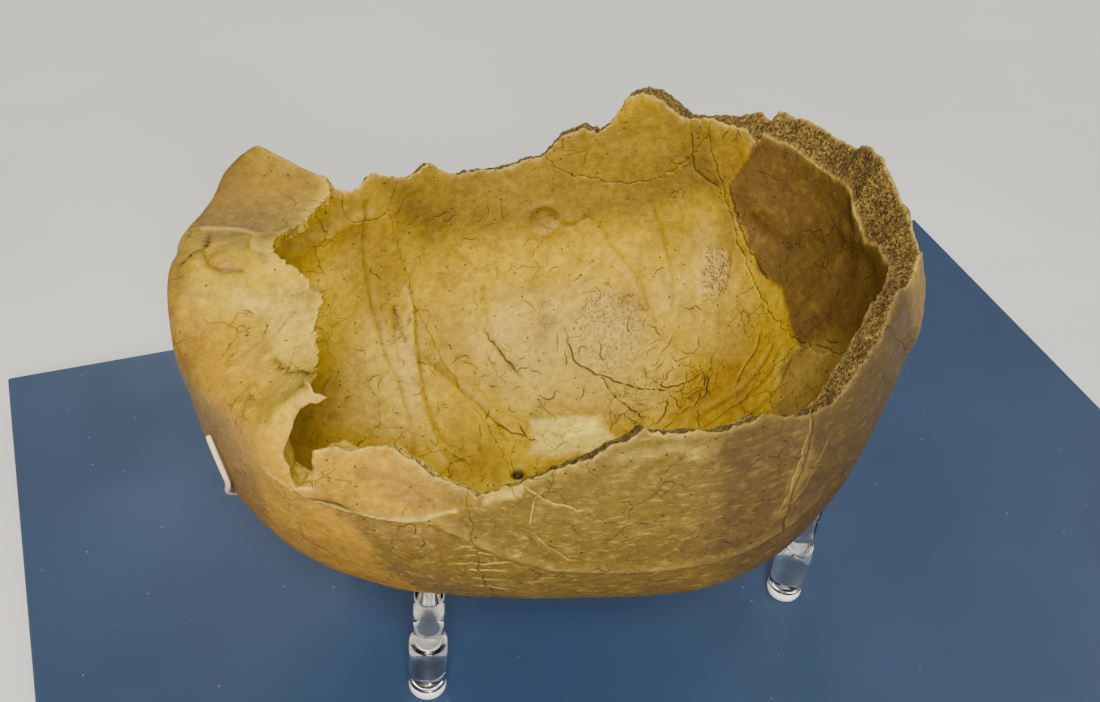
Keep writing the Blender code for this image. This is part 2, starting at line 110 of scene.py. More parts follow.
# Orbit roofs: plates below the centre that slope to the brow
ROOF_DROP = 29.4 * MM
ROOF_BACK = 58.0 * MM
ROOF_SLOPE_LEFT = 0.06
ROOF_SLOPE_RIGHT = 0.45
ROOF_THICKNESS = 3.2 * MM
ROOF_TOP = -4.0
ROOF_DOME = 4.2 * MM
DOME_AZIMUTH = 25.0
DOME_ELEVATION = -24.0
DOME_WIDTH = 9.0
DOME_DEPTH = 5.0
ROOF_AZIMUTH = 24.0
ROOF_HALF_WIDTH = 17.0
NASAL_RIDGE = 5.0 * MM
NASAL_WIDTH = 7.0
SIDE_FALL = 32.0 * MM
BLEND = 5.5 * MM

# Broken edge, bone by bone, round the skull by rising azimuth: (azimuth, elevation)
EDGE = {
    "parietal_right": [
        (-141, -12), (-139, -9.9), (-135, -8.7), (-132.2, -5.8), (-128.7, -4.2), (-125, -4),
        (-119, -6.5), (-115, -9), (-109, -8), (-102, -10), (-92, -13), (-86, -11), (-77, -7),
        (-72, -4), (-66, -0.5), (-60, 2), (-58, 0.8)],
    "frontal": [
        (-58, 0.8), (-53, -1.4), (-50, -5.2), (-46, -10.3), (-42.2, -9.8), (-40.5, -11),
        (-38.8, -11), (-37.6, -3), (-35.6, -3.4), (-36.2, -12.6), (-37.4, -17.6), (-39.7, -19.4),
        (-36.5, -21), (-28, -20.1), (-20.5, -21.3), (-14.6, -24.6), (-7.7, -25), (-3.2, -25.5),
        (4, -26), (9, -24.2), (14.5, -24.2), (24, -23.3), (31.7, -25), (34.4, -22.2),
        (36, -20.2), (39.4, -17.3), (41.1, -14.8), (44, -13.4), (47, -6.5)],
    "sphenoid_left": [(47, -6.5), (50, -6.5), (53.5, -10.4), (60, -6.7)],
    "parietal_left": [
        (60, -6.7), (65, -6), (69.5, -7.9), (73, -4), (78, -0.9), (84, -1.3), (91, -0.3),
        (97, -1.2), (102, -2)],
    "temporal_left": [
        (102, -2), (106, -6.9), (112.4, -8.4), (115.8, -6.8), (118.8, -8.7), (120.9, -12.3),
        (122.8, -16.2), (126.6, -17), (131, -14.4), (135, -9.2), (141, -9.5)],
    "occipital": [
        (141, -9.5), (148.5, -11.4), (150.5, -10), (152, -12.8), (158, -12.2), (164, -11.6),
        (168, -11.8), (174, -15), (178.2, -15.6), (181.5, -12.4), (184.8, -10), (189, -9.6),
        (193, -7), (198, -10), (203, -13.5), (208, -13.4), (214, -15.2), (219, -12)],
}
# The inner table breaks higher or lower than the outer one: azimuth, elevation added to it
BEVEL = [
    (-179, 9), (-173, 5), (-167, 1), (-155, 2), (-145, 3), (-135, 3.5), (-120, 3), (-60, 2.5),
    (-46, 1.5), (-36, 2.3), (36, 2.3), (41, 0), (47, -2.8), (141, -2.8), (150, 2), (160, 3),
    (168, 3.5), (177, 7.5)]
BEVEL_REACH = 20.0
# The wall beside the notch is undercut: most azimuth that the inner face adds, where that starts,
# rises, ends and fades, and how its start steps back in the notch's mouth
UNDERCUT = 4.5
UNDERCUT_START = -38.6
UNDERCUT_RISE = 1.6
UNDERCUT_END = -26.0
UNDERCUT_FADE = 8.0
UNDERCUT_TOP = -2.0
UNDERCUT_DEPTH = 3.0
MOUTH = -12.0
MOUTH_DEPTH = 1.5
MOUTH_BACK = 3.4

# Sutures, from one junction to the next
SUTURES = {
    "coronal_left": [(57, 0.5), (59, 12), (59.5, 32), (58.6, 60), (50, 70), (0, 79)],
    "coronal_right": [(-58, 0.8), (-59.2, 12.9), (-59.4, 31.9), (-58.6, 60), (-50, 70), (0, 79)],
    "sagittal": [(0, 79), (60, 89), (178, 60), (181, 42), (179, 24.4)],
    "lambdoid_left": [
        (179, 24.4), (165.7, 24.9), (158, 22.8), (148.9, 16.1), (144.4, 5.6), (141.5, -2),
        (140.6, -6)],
    "mastoid_left": [(140.6, -6), (141, -9.5)],
    "lambdoid_right": [
        (179, 24.4), (184.7, 21.7), (191.5, 17.3), (197.9, 12.6), (208, 3), (214, -5),
        (219, -12)],
    "squamous_left": [
        (102, -2), (103.5, 0), (107, 2), (116, 5.6), (125.6, 6.6), (134, 2), (138.4, -3),
        (140.6, -6)],
    "spheno_frontal": [(47, -6.5), (46.4, 0), (52, 1.6), (57, 0.5)],
    "spheno_parietal": [(57, 0.5), (60, -6.7)],
}
# Each bone's outline: its broken edge, then its sutures in turn, "-" for one run backwards
BONES = {
    "frontal_bone": ["frontal", "spheno_frontal", "coronal_left", "-coronal_right"],
    "sphenoid_wing_left": ["sphenoid_left", "-spheno_parietal", "-spheno_frontal"],
    "parietal_left": [
        "parietal_left", "squamous_left", "-lambdoid_left", "-sagittal", "-coronal_left",
        "spheno_parietal"],
    "temporal_left": ["temporal_left", "-mastoid_left", "-squamous_left"],
    "occipital_bone": ["occipital", "-lambdoid_right", "lambdoid_left", "mastoid_left"],
    "parietal_right": ["parietal_right", "coronal_right", "sagittal", "lambdoid_right"],
}
SLOTS = {
    "frontal_bone": "frontal_bone",
    "sphenoid_wing_left": "sphenoid_bone",
    "parietal_left": "parietal_bone_left",
    "temporal_left": "temporal_bone",
    "occipital_bone": "occipital_bone",
    "parietal_right": "parietal_bone_right",
}

# Skull on its rods
SKULL_CENTRE = Vector((-42.2 * MM, 7.6 * MM, 118.3 * MM))
SKULL_TURN = -6.0
SKULL_PITCH = -6.1
SKULL_ROLL = -1.9

# Grooves (-) and ridges (+) of the inner face: name, height, half width, darkness, route. The
# darkness is painted shade in the grooves and the drilled hole, and below 0 a painted highlight
# on the ridges
INNER_FORMS = [
    ("frontal_crest", 2.6, 2.0, 0.0, [(0, -20), (0, -5), (0, 8), (0, 20)]),
    ("sagittal_sulcus", -1.1, 4.0, 0.1, [
        (0, 14), (0, 45), (0, 75), (90, 89), (180, 70), (180, 40), (180, 12), (180, 2)]),
    ("transverse_sulcus_left", -1.3, 3.6, 0.1, [
        (179, -2), (174, 4), (166, 10.7), (158.4, 13), (150, 10)]),
    ("transverse_sulcus_right", -1.2, 3.6, 0.1, [(181, -2), (189, 1), (197, 3), (206, 2)]),
    ("inner_protuberance", 1.6, 4.0, 0.0, [(177, 0), (183, -2)]),
    ("occipital_crest", 1.5, 2.4, 0.0, [(180, -2), (178, -8), (177, -12)]),
    ("meningeal_front", -0.8, 0.9, 0.45, [
        (51.6, -4), (50, 8), (48.9, 19.5), (48.1, 25.3), (47.2, 29.7), (45, 34.6), (44, 43),
        (31, 53), (21, 54)]),
    ("ridge_long", 0.9, 1.3, -0.35, [
        (58.3, 24.5), (56.4, 30.6), (52.9, 37.3), (49.1, 43), (43.3, 48.5), (38.7, 52.6),
        (32.5, 56.6), (24.3, 60.4)]),
    ("beside_ridge", -0.8, 0.9, 0.4, [
        (60, 24), (58.6, 31), (55.4, 37.5), (51.6, 43.8), (46, 50), (41, 54.6), (35, 59)]),
    ("ridge_left", 0.5, 1.0, -0.2, [(54.5, 30.5), (50.6, 37.5), (46, 43.7), (40.7, 48.4)]),
    ("beside_ridge_left", -0.6, 0.8, 0.35, [(53, 27), (49.4, 35), (45, 41.5), (39, 47)]),
    ("meningeal_middle", -0.9, 0.9, 0.6, [
        (54.6, 40.8), (56.7, 45.4), (58.5, 50.3), (60.3, 55.1), (61.5, 58.4), (61.3, 61.5),
        (62.1, 63.8), (58, 70)]),
    ("meningeal_upper", -0.7, 0.8, 0.5, [(80.2, 31.7), (79.3, 41.2)]),
    ("meningeal_upper_2", -0.7, 0.8, 0.5, [
        (76.9, 42.5), (79.5, 47.1), (80.5, 51.9), (85.2, 56.1)]),
    ("meningeal_back", -0.7, 1.0, 0.3, [
        (105.3, 17.6), (109.5, 18.9), (113, 15.6), (117.2, 21), (119.5, 25), (122.3, 27.9),
        (127, 32), (131, 38)]),
    ("meningeal_branch", -0.6, 0.9, 0.25, [(109.5, 18.9), (112, 24), (110, 31)]),
    ("meningeal_low", -0.5, 0.8, 0.25, [(128, 12), (131, 19), (135, 28), (138, 36)]),
    ("meningeal_low_2", -0.5, 0.8, 0.25, [(70, 12), (74, 20), (79, 27)]),
    ("arc_under_plate", 0.9, 2.2, -0.1, [
        (34, 3), (39.4, 1.5), (43.3, 0.3), (47.3, -1), (52, -1)]),
    ("impression_under_plate", -1.3, 4.0, 0.0, [(37, 9), (42, 8), (47, 6)]),
    ("oval_rim", 0.7, 1.3, -0.1, [
        (97, 11.8), (101.4, 10), (106, 13.5), (105, 18.5), (99.5, 20), (95.5, 16), (97, 11.8)]),
    ("oval_pit", -0.9, 2.4, 0.1, [(100, 14), (102.5, 16)]),
    # The drilled hole's darkness paints the shadow inside it
    ("drilled_hole", -3.0, 1.7, 4.0, [(27.8, 78.4), (28.2, 78.6)]),
    ("fold_1", 0.6, 0.9, 0.2, [(177.7, 28.2), (181.1, 33.4), (182.5, 41.2), (181.3, 52.4)]),
    ("fold_2", -0.6, 0.8, 0.5, [(173.8, 29.5), (176.4, 35.4), (176.8, 43.7), (173.2, 53.4)]),
    ("fold_3", -0.6, 0.8, 0.5, [(181.7, 28.8), (186, 33.7), (187.5, 41.1), (187.9, 49.5)]),
]
# The same of the outer face
OUTER_FORMS = [
    ("temporal_line_right", 0.9, 1.6, -0.1, [
        (-36, -3), (-38.9, 0.4), (-41.8, 3.4), (-47.1, 6.7), (-51.2, 6.6), (-60, 12), (-80, 24),
        (-105, 27), (-128, 18)]),
    ("temporal_line_left", 0.9, 1.8, -0.1, [
        (45, -3), (47.1, 6.7), (60, 14), (80, 25), (105, 27), (126, 18)]),
    ("nuchal_line", 1.6, 3.2, 0.0, [(152, -1), (165, -4), (180, -7), (195, -4), (208, -1)]),
    ("outer_protuberance", 2.0, 4.5, 0.0, [(178, -6), (182, -6)]),
    ("brow_groove", -1.3, 2.6, 0.1, [(-10, -17), (-20, -15.4), (-26, -15.3)]),
    ("nasal_crack", -1.2, 0.8, 0.9, [(11, -18.1), (4, -19.2), (0, -19.6), (-2, -21)]),
    ("nasal_bump", 1.9, 3.0, 0.0, [(0.6, -20.9), (1.2, -20.8)]),
    ("nasal_margin", 1.7, 1.2, -0.5, [
        (13.3, -17.8), (13, -19.3), (9.5, -22), (5, -23.6), (-1, -25)]),
    ("glabella_hollow", -0.9, 2.6, 0.1, [(9, -14.5), (7, -17), (3, -17.6)]),
    ("plate_crease", -1.2, 1.3, 0.6, [(-21, -15.6), (-24.9, -16.4), (-32, -19.0), (-36.4, -20.4)]),
    ("plate_facet", 0.8, 2.2, 0.0, [(-30, -15.5), (-35, -16.8), (-37, -17.4)]),
    ("pink_fold", 1.0, 1.6, 0.0, [(-17, -13), (-19, -14.6), (-24, -14.8), (-28, -13)]),
    ("cut_line", 0.5, 0.6, -1.0, [(-33, -6.6), (-35, -3), (-39, 2), (-47, 7.4), (-56, 5)]),
]
# Open cracks of the two faces: depth, darkness, route
INNER_CRACKS = [
    (0.6, 0.9, [(142, 53.1), (151.7, 53.2), (157.5, 48.7), (159.3, 45.5)]),
    (0.6, 0.9, [(159.8, 44.7), (166.4, 49.6), (169, 53.7)]),
    (0.5, 0.8, [(121.1, 55.4), (129, 60.7), (143.1, 62.6), (155, 62.1)]),
    (0.5, 0.8, [(154.1, 54.6), (162.2, 60.2), (160.6, 62.8)]),
    (0.5, 0.7, [(167.1, 29.4), (170.3, 33.2), (171.4, 38.7), (174.8, 41.5)]),
    (0.5, 0.8, [(62, 63.8), (64, 69), (80, 75)]),
    (0.4, -0.8, [(179.4, 25.5), (-176.4, 23), (-172.2, 21.5), (-169.6, 17.7), (-161, 11.7)]),
    (0.4, 0.6, [(145.4, 3.2), (147.3, 10.5), (151.5, 14.9), (155.7, 18.3), (161.5, 19.8)]),
    (0.4, 0.6, [(136.9, -10), (137, -1.1), (139, 3), (144, 5.4)]),
    (0.4, 0.6, [(-169.5, 50.6), (-160, 44), (-150, 30)]),
    (0.4, 0.6, [(90, 62), (97, 64), (103, 61)]),
    (0.7, 1.0, [(106.8, 48), (109.7, 53.3), (118.7, 56.2), (140.5, 56.4), (152.3, 53.6)]),
    (0.5, 0.9, [(76.9, 42.5), (79.5, 47.9), (85.2, 56.1)]),
    (0.5, 0.9, [(73.1, 67.8), (74.6, 71.5), (70, 74)]),
    (0.5, 0.9, [(160.7, 44.8), (167.6, 48), (168.4, 51)]),
    (0.5, -0.8, [(39.2, 84.8), (82.9, 84.8), (116, 81.6), (128, 80)]),
]
OUTER_CRACKS = [
    (0.6, 0.5, [(-22.5, -15.8), (-24.9, -16.4), (-32, -19.0), (-36.8, -20.3)]),
    (0.7, 0.9, [(9.5, -18.6), (7, -18.3), (3.4, -17.2)]),
    (0.5, 0.9, [(-124.5, -3.5), (-124.4, 1.7), (-122.7, 10.3), (-121.5, 16.1), (-121, 24)]),
    (0.5, 0.8, [(-35.3, -3.3), (-36.6, -0.4), (-39, 0.2), (-41, 3)]),
    (0.3, -0.9, [(-123.9, -5), (-123.4, 1.2), (-122.2, 5.7), (-121.3, 11.3), (-119.1, 18.5)]),
    (0.2, -0.6, [(-128.6, 2.5), (-126.5, 6.4), (-124.8, 11.6), (-122.5, 15.5), (-119.2, 18.5)]),
    (0.3, -0.6, [(-69.2, -1.7), (-71, 0.8), (-75.7, 3.2), (-80.7, 5.4)]),
    (0.3, -0.6, [(-71.1, 1.3), (-70.7, 3.5), (-69.6, 6.8), (-70, 9)]),
    (0.2, -0.4, [(-70.7, 10.3), (-72.5, 13.9), (-76.2, 18.3), (-79.2, 20.7)]),
    (0.3, -0.6, [(-58, 1), (-61.5, -0.4), (-69.2, -1.7)]),
    (0.1, -0.6, [(-55.2, 15.3), (-58, 14.4), (-61.9, 14.3)]),
    (0.1, -0.5, [(-56, 17.2), (-60, 16.6), (-63.6, 16.7)]),
    (0.1, -0.8, [(-54, 19.5), (-60, 19.6), (-66, 19.2)]),
    (0.1, -0.7, [(-56, 21.9), (-60, 22), (-64.8, 22.5)]),
    (0.1, -0.5, [(-56.3, 24.8), (-60, 25.2), (-64.5, 26.4)]),
    (0.1, -0.5, [(-56.3, 28.6), (-60, 29.2), (-63.5, 30.7)]),
    (0.4, 0.7, [(60, 20), (75, 26), (88, 24), (100, 34)]),
    (0.4, 0.7, [(-90, 60), (-120, 55), (-140, 62)]),
    (0.4, 0.7, [(150, 10), (170, 4), (190, 8), (200, 2)]),
]
# Places where the inner face is scraped to its spongy layer: outline, softness, pores, depth
SAMPLED_PATCH = [
    (142.8, 20), (146.7, 18.2), (148.8, 19.6), (150.2, 27.6), (149.4, 29.6), (144.7, 30.6),
    (142.3, 26.8)]
GREY_PATCH = [
    (109.5, 44.5), (112.5, 38.2), (118.3, 35.3), (125.9, 36.8), (130.7, 40.8), (133.3, 47.7),
    (128.1, 56.1), (116.7, 55.3)]
SCRAPED = [(SAMPLED_PATCH, 1.0, 0.75, 0.9), (GREY_PATCH, 2.0, 0.45, 0.35)]
# Outlines that two colours share
LOW_BACK_PATCH = [(136.9, -12), (150, -10.4), (145.4, 3.2), (142, 5.3), (137.4, 0)]
NASAL_PATCH = [(-2, -20.3), (-1, -22.4), (4, -22), (4, -20)]
# Patches of colour on the inner and outer faces: strength, softness in degrees, outline. The
# shade patches are painted shade, and the two strongest inner pale ones a painted highlight
INNER_PATCHES = {
    "brown": [
        (0.95, 1.2, [
            (145.4, 3.2), (147.3, 10.5), (151.5, 14.9), (155.7, 18.3), (161.5, 19.8),
            (168.3, 20.8), (174.3, 23.5), (179.4, 25.5), (181.5, 29.9), (187, 31.6), (193, 36.4),
            (190, 48), (210, 46), (232, 30), (236, 0), (225, -20), (200, -24), (180, -24),
            (160, -20), (150.8, -10.4)]),
        (0.6, 9, [(52, -20), (100, -20), (142, -20), (140, 8), (120, 17), (90, 15), (60, 8)]),
        (0.3, 8, [(-60, -10), (-60, 20), (-90, 40), (-125, 35), (-125, -10)]),
        (0.45, 2.0, LOW_BACK_PATCH),
        (0.2, 6, [(158, 35), (176, 30), (185, 40), (175, 56), (150, 58)]),
        (0.35, 6, [(44, -10), (56, -6), (60, 20), (52, 34), (44, 30)]),
    ],
    "pale": [
        # The first two patches are a painted highlight, a pool of light on the bowl's floor, its
        # core in the highlight colour
        (1.3, 2, [
            (82.8, 67.8), (106.7, 68.7), (110.8, 68.1), (129.2, 66.1), (148.4, 72.2),
            (140.4, 78.5), (112.2, 81.3), (61.3, 78)]),
        (2.2, 3, [(102.2, 71.5), (127.2, 66.8), (136.9, 70.6), (126, 74.8), (101.1, 76.4)]),
        (0.6, 1.5, [(6.6, 67.1), (10.8, 74.2), (15.4, 80.3), (-13.1, 80), (-2.2, 67.7)]),
        (0.5, 9, [(72, 44), (86, 36), (112, 34), (150, 44), (160, 60), (120, 68), (74, 64)]),
        (0.3, 7, [(140, 14), (160, 24), (168, 34), (150, 44), (132, 36)]),
        (0.4, 7, [(180, 27), (186, 20), (194, 12), (199, 8), (202, 26), (194, 36), (184, 31)]),
        (0.35, 6, [(20, 35), (45, 25), (52, 40), (30, 55)]),
    ],
    "pink": [(0.85, 1.0, SAMPLED_PATCH), (0.6, 2.0, GREY_PATCH)],
    "olive": [
        (0.5, 3, [
            (137, -3), (139.5, 6), (143, 10), (146, 17), (149, 19), (148, 12), (147, 6), (144, 2),
            (141, -4)]),
        (0.3, 5, [(96, 38), (108, 34), (114, 40), (108, 50), (96, 52), (84, 46)]),
    ],
    # Painted shade on the left wall inside, near its broken edge
    "painted_shade": [(0.25, 8, [(60, -10), (140, -10), (140, 6), (120, 14), (90, 14), (60, 16)])],
    "orange": [
        (0.2, 2.0, LOW_BACK_PATCH),
        (0.35, 6, [(160, 35), (176, 30), (185, 40), (175, 55), (155, 55)]),
        (0.15, 8, [(45, -4), (58, 0), (58, 20), (46, 20)]),
    ],
}
OUTER_PATCHES = {
    "orange": [
        (0.9, 5, [
            (-35, -8), (-37, 0), (-42, 4), (-50, 8), (-57, 6), (-58, 20), (-40, 30), (0, 34),
            (30, 30), (48, 18), (46, 0), (40, -10), (0, -12)]),
        (0.75, 4, [(-60, 3), (-46, -10), (-41, -10), (-38, 0), (-47, 7)]),
        (0.55, 3, [(12, -22), (30, -23), (33, -19), (30, -16.5), (14, -18)]),
        (0.6, 3, [(-8, -13), (-20, -12.5), (-30, -13), (-30, -15.4), (-17, -15), (-8, -15.4)]),
        (0.8, 1.2, NASAL_PATCH),
    ],
    "pink": [
        (0.12, 2.5, [(-44, -8), (-50, -4), (-57, 2), (-54, 5), (-46, 4), (-42, -2)]),
        (0.12, 3, [(-33, -5), (-35, -2), (-44, 7), (-56, 9), (-50, 16), (-36, 10), (-28, 2)]),
    ],
    "pale": [
        (0.5, 3.5, [
            (-4.8, -19), (-9.4, -20), (-14.3, -23), (-20, -22), (-22.5, -20), (-20.8, -17.9),
            (-12.2, -15.9), (-6, -16.5)]),
        (0.3, 4, [
            (-7, -20), (-14, -15.4), (-27, -16.4), (-37, -19), (-40, -20), (-28, -21),
            (-20, -22), (-14, -26), (-8, -24)]),
        (0.2, 2.5, [(-122.6, -2), (-126, 6), (-124, 13), (-118.4, 20), (-120, 12), (-122, 5)]),
        (0.3, 2, [(-99, -8), (-102, -7), (-103.4, -4), (-102, -3.4), (-100, -5.4)]),
        (0.2, 2.5, [(-86, -9), (-96, -9), (-107, -6.5), (-106, -4), (-96, -6), (-88, -6)]),
        (0.5, 1.2, [(-61, 1.6), (-64.6, -1.8), (-69, -2), (-68.6, 0.6), (-64, 1), (-61.6, 3)]),
    ],
    "olive": [
        (0.45, 2, [
            (13, -18.6), (9, -20), (4, -22.4), (-2, -24.6), (1, -25.4), (7, -24), (14, -21)]),
        (0.9, 4, [
            (-37, -2), (-42, 4), (-50, 8), (-57, 5), (-60, 3), (-70, -4), (-90, -16),
            (-125, -10), (-145, -16), (-150, 20), (-120, 60), (-60, 60), (-44, 30)]),
    ],
    "brown": [
        (0.7, 14, [(143, -24), (146, 10), (165, 24), (200, 18), (216, -2), (220, -24)]),
        (0.45, 16, [(70, -24), (74, 20), (100, 34), (140, 30), (140, -24)]),
        # This brown also darkens the right side as a painted shade
        (0.35, 9, [(-98, -16), (-145, -16), (-150, 20), (-125, 40), (-100, 24)]),
        (0.4, 2, [(-13, -10.3), (-17, -5.8), (-20, 0.5), (-24, 2), (-24, -1), (-18, -9)]),
        (0.5, 6, [(-20, 10), (-34, 11), (-47, 20), (-66, 28), (-66, 44), (-40, 36), (0, 30)]),
        (0.75, 4, [(8, -17), (14, -16.5), (22, -17), (17, -23.5), (10, -23.5)]),
        (0.6, 3, [(2, -13), (9, -14), (10, -18), (3, -17.6), (-3, -16)]),
        (0.5, 0.8, [(-43, -7), (-45, -6), (-52, 1), (-53, 2), (-47, -1.5), (-43, -5)]),
        (0.45, 0.8, [(-44, -3), (-49, 1), (-54, 3.4), (-50, 4), (-45, 2)]),
        (0.75, 5, [
            (0, -13), (-8, -11.4), (-16, -8.4), (-23, -8), (-26, 2), (-24, 16), (-14, 30),
            (0, 42), (44, 44), (56, 24), (54, 4), (42, -8), (24, -9), (10, -12)]),
        (0.25, 1.2, NASAL_PATCH),
        (0.45, 3, [(18, -17), (36, -16), (37, -23), (33, -25.5), (10, -27), (6, -25), (13, -20)]),
    ],
    # Painted shade: the right side turned from the light, the left orbit plate and the forehead
    "painted_shade": [
        (0.4, 2.5, [(17, -16), (36, -14), (38, -20), (30, -19.4), (20, -18.6)]),
        (0.7, 9, [(-105, -16), (-145, -20), (-155, 0), (-150, 24), (-125, 44), (-106, 26)]),
        (0.9, 6, [(-125, -16), (-145, -22), (-155, 0), (-150, 30), (-126, 44), (-122, 16)]),
        (0.3, 9, [
            (0, -12), (-16, -7), (-22, 4), (-20, 18), (-8, 30), (36, 34), (46, 16), (36, -6)]),
    ],
}
PRONG_ROUTE = [(-16.4, -0.8), (-17.3, 4.5), (-17.6, 8), (-15, 11.5), (-3, 25), (6, 33), (13, 40)]
# How pale the broken walls are, by azimuth: the pale of fresh breaks, with a painted highlight
# where they are palest, on the frontal's right side
PALE_WALLS = [(-180, 0.05), (-74, 0.1), (-68, 0.5), (-60, 0.3), (-55, 0.9), (-44, 0.8), (-41, 0.2),
              (0, 0.1), (120, 0.1)]

# Mesh points on the map: rings from the crown down, then columns down the brow's profile
RING_START = 0.4
RING_SPACING = 0.87
LAST_RING = 118.0
LEAST_POINTS = 6
BROW_AZIMUTH = 44.0
BROW_TOP = -3.0
BROW_BOTTOM = -28.0
BROW_SAMPLES = 900
COLUMN_SPACING = 0.9
# Millimetres that a degree of the map is on the brow's profile, and on the outer face in general
BROW_DEGREE = 1.35
MAP_DEGREE = 1.4
# Degrees over which the outer face's slope is taken, and rounds of finding a level on it
LEVEL_STEP = 0.1
LEVEL_ROUNDS = 6

# Waves of lines: sizes and amounts in degrees of the map, calm near sharp corners
RELIEF_SEED = 5
EDGE_WAVES = [(4.5, 0.5), (1.6, 0.5), (0.8, 0.25)]
SUTURE_WAVES = [(3.4, 0.5), (1.5, 0.8)]
SHARP_CORNER = 0.5
CORNER_CALM = 2.2

# Cracks: spacing of their points and half widths in degrees, waves, and tapered ends
CRACK_STEP = 0.4
CRACK_HALF = 0.34
CRACK_WAVES = [(3.0, 0.6), (1.1, 0.4)]
CRACK_SEED = 40
CRACK_LEAST = 4
CRACK_TAPER = 5
CRACK_TIP = 0.2
HAIR_HALF = 0.22
HAIR_STEP = 1.3
HAIR_TURN = 0.6
HAIR_DEPTH = (0.1, 0.3)
HAIR_DARKNESS = (0.3, 0.9)
# Hairlines of each face: number, azimuth, elevation, spread of both, most steps
HAIRLINES = {
    "inner": [
        (26, 148, 50, 14, 9, 7), (16, 120, 40, 20, 14, 5), (14, 45, 40, 12, 16, 5),
        (14, 20, 30, 30, 18, 5), (10, 165, 48, 10, 8, 6), (14, 80, 20, 20, 14, 5),
        (14, -100, 40, 30, 20, 6), (8, 190, 10, 18, 12, 5), (10, 90, 70, 60, 10, 6),
        (26, 138, 58, 18, 10, 5), (20, 75, 48, 24, 20, 4), (16, 55, 62, 40, 12, 4)],
    "outer": [
        (8, -95, 20, 30, 14, 6), (6, -48, 18, 12, 14, 6), (10, 90, 25, 30, 20, 7),
        (10, 180, 30, 30, 20, 7), (8, 0, 30, 30, 16, 6), (5, -15, -17, 12, 3, 4)],
}
# Hairlines keep below this elevation, and circles count as no narrower than this share
HIGHEST = 88.0
NARROWEST = 0.3

# Room between mesh points and outlines or cracks, in steps of the mesh or in degrees
OUTLINE_ROOM = 0.55
CRACK_EDGE_ROOM = 0.3
CRACK_ROOM = 0.36
NET_ROUNDING = 1e-9
# Cells of the search grid within a reach, and degrees in from the broken edge that it affects
GRID_CELLS = 4
EDGE_REACH = 5.0

# Relief of each face: height and size of its lumps, then of its grain, and noise seeds
OUTER_RELIEF = ((0.35, 16, 1), (0.1, 2.2, 5))
INNER_FACE_RELIEF = ((0.55, 19, 9), (0.12, 2.6, 14))
# Grooves and ridges: how they waver (amount and size in millimetres, seed), how steeply they and
# their shade fall off, half widths that they reach, and degrees between their points
FORM_WARP = (0.5, 7, 60)
FORM_SHARPNESS = 1.4
SHADE_SHARPNESS = 2.0
FORM_REACH = 4
FORM_STEP = 2.0
# Frayed edge: depth, its change and that one's size in millimetres, reach in degrees, seed
FRAY = (0.35, 0.35, 1.8, 1.1, 21)
# Wobble of the patches' outlines: amount in degrees, size in millimetres, seed
PATCH_WOBBLE = (1.6, 9, 30)
# Values kept on each point: these tones, and its wear and painted shade as crack (with the
# painted shadow of the drilled hole), spongy bone, painted shade and pink
TONES = ("brown", "orange", "pale", "olive")
# The outer face is olive beyond this azimuth or elevation and orange on the forehead: where each
# change starts and over how many degrees, and its strength
OLIVE_AZIMUTH = (46, 10)
OLIVE_ELEVATION = (36, 16)
FOREHEAD_ELEVATION = (-16, 4)
GROUND_TONE = 0.75
# Pale rim of the faces, the pale of fresh breaks with a painted highlight on it: strength and
# reach in degrees; rims of the scraped patches
PALE_RIM = (0.4, 0.55)
SCRAPED_WOBBLE = 0.4
SCRAPED_RIM = 2.4
# Broken walls: azimuth and degrees over which they turn spongy, and least share of that; height,
# size and seed of their lumps and pits; how far they sink; their brown, and the painted shade of
# their spongy part; how soon pores start
THIN_WALL = (41, 6, 0.15)
WALL_LUMPS = (0.8, 3.2, 70)
WALL_PITS = (0.5, 1.1, 75)
WALL_SINK = 0.2
WALL_BROWN = 0.9
WALL_SHADE = 0.6
WALL_PORES = 2.2

# Rods and finger
ROD_SIDES = 64
ROD_EDGE = 0.35 * MM
ROD_TOP_SHARE = 0.3
NECK_RISE = 0.1 * MM
SHORTEST_NECK = 2 * MM
# Foot of each rod: a white disc that paints the glow of light refracted there, and the room the
# clear rod leaves above it
FOOT_PROFILE = [(0, 0), (0.96, 0), (1, 0.2), (1, 0.85), (0.95, 1), (0.4, 1.08), (0, 1.12)]
FOOT_ROOM = 1.16
SHARP_ANGLE = 50.0
PRONG_SIDES = 20
PRONG_STEP = 1.0
PRONG_LIFT = 0.6 * MM
PRONG_DROP = 2 * MM
PRONG_REST = 0.1 * MM
ROUND_END = (0, 20, 40, 60, 80)
FLAT_END = 0.3

# Floor, light and camera
FLOOR_HALF = 4.0
FLOOR_DROP = 0.2 * MM
ROOM_COLOUR = (1.0, 0.97, 0.92, 1)
ROOM_LIGHT = 0.3
LIGHT_TARGET = Vector((-0.04, 0.01, 0.09))
# Lights: place, size, power, colour
LIGHTS = {
    "key": ((-0.32, -0.66, 0.98), 0.35, 18, (1.0, 0.95, 0.86)),
    "camera_side": ((-0.2, -0.8, 0.6), 0.3, 7, (1.0, 0.96, 0.9)),
    "fill": ((0.9, 0.1, 0.8), 0.9, 3, (1.0, 0.98, 0.95)),
    "back": ((0.1, 0.95, 0.7), 0.8, 4, (1.0, 0.98, 0.95)),
}
CAMERA_PLACE = (-146.15 * MM, -219.7 * MM)
CAMERA_DOWN = 41.0
CAMERA_ROLL = 5.7
CAMERA_TURN = -24.5
NEAREST = 10 * MM
FOCAL_PIXELS = 1250.0
IMAGE_WIDTH = 1100.0
SENSOR = 36.0


def hex_colour(value):
    """Linear colour of an sRGB hex value."""
    parts = [(value >> shift & 255) / 255 for shift in (16, 8, 0)]
    return tuple(c / 12.92 if c <= 0.04045 else ((c + 0.055) / 1.055) ** 2.4 for c in parts)


# Skull's form

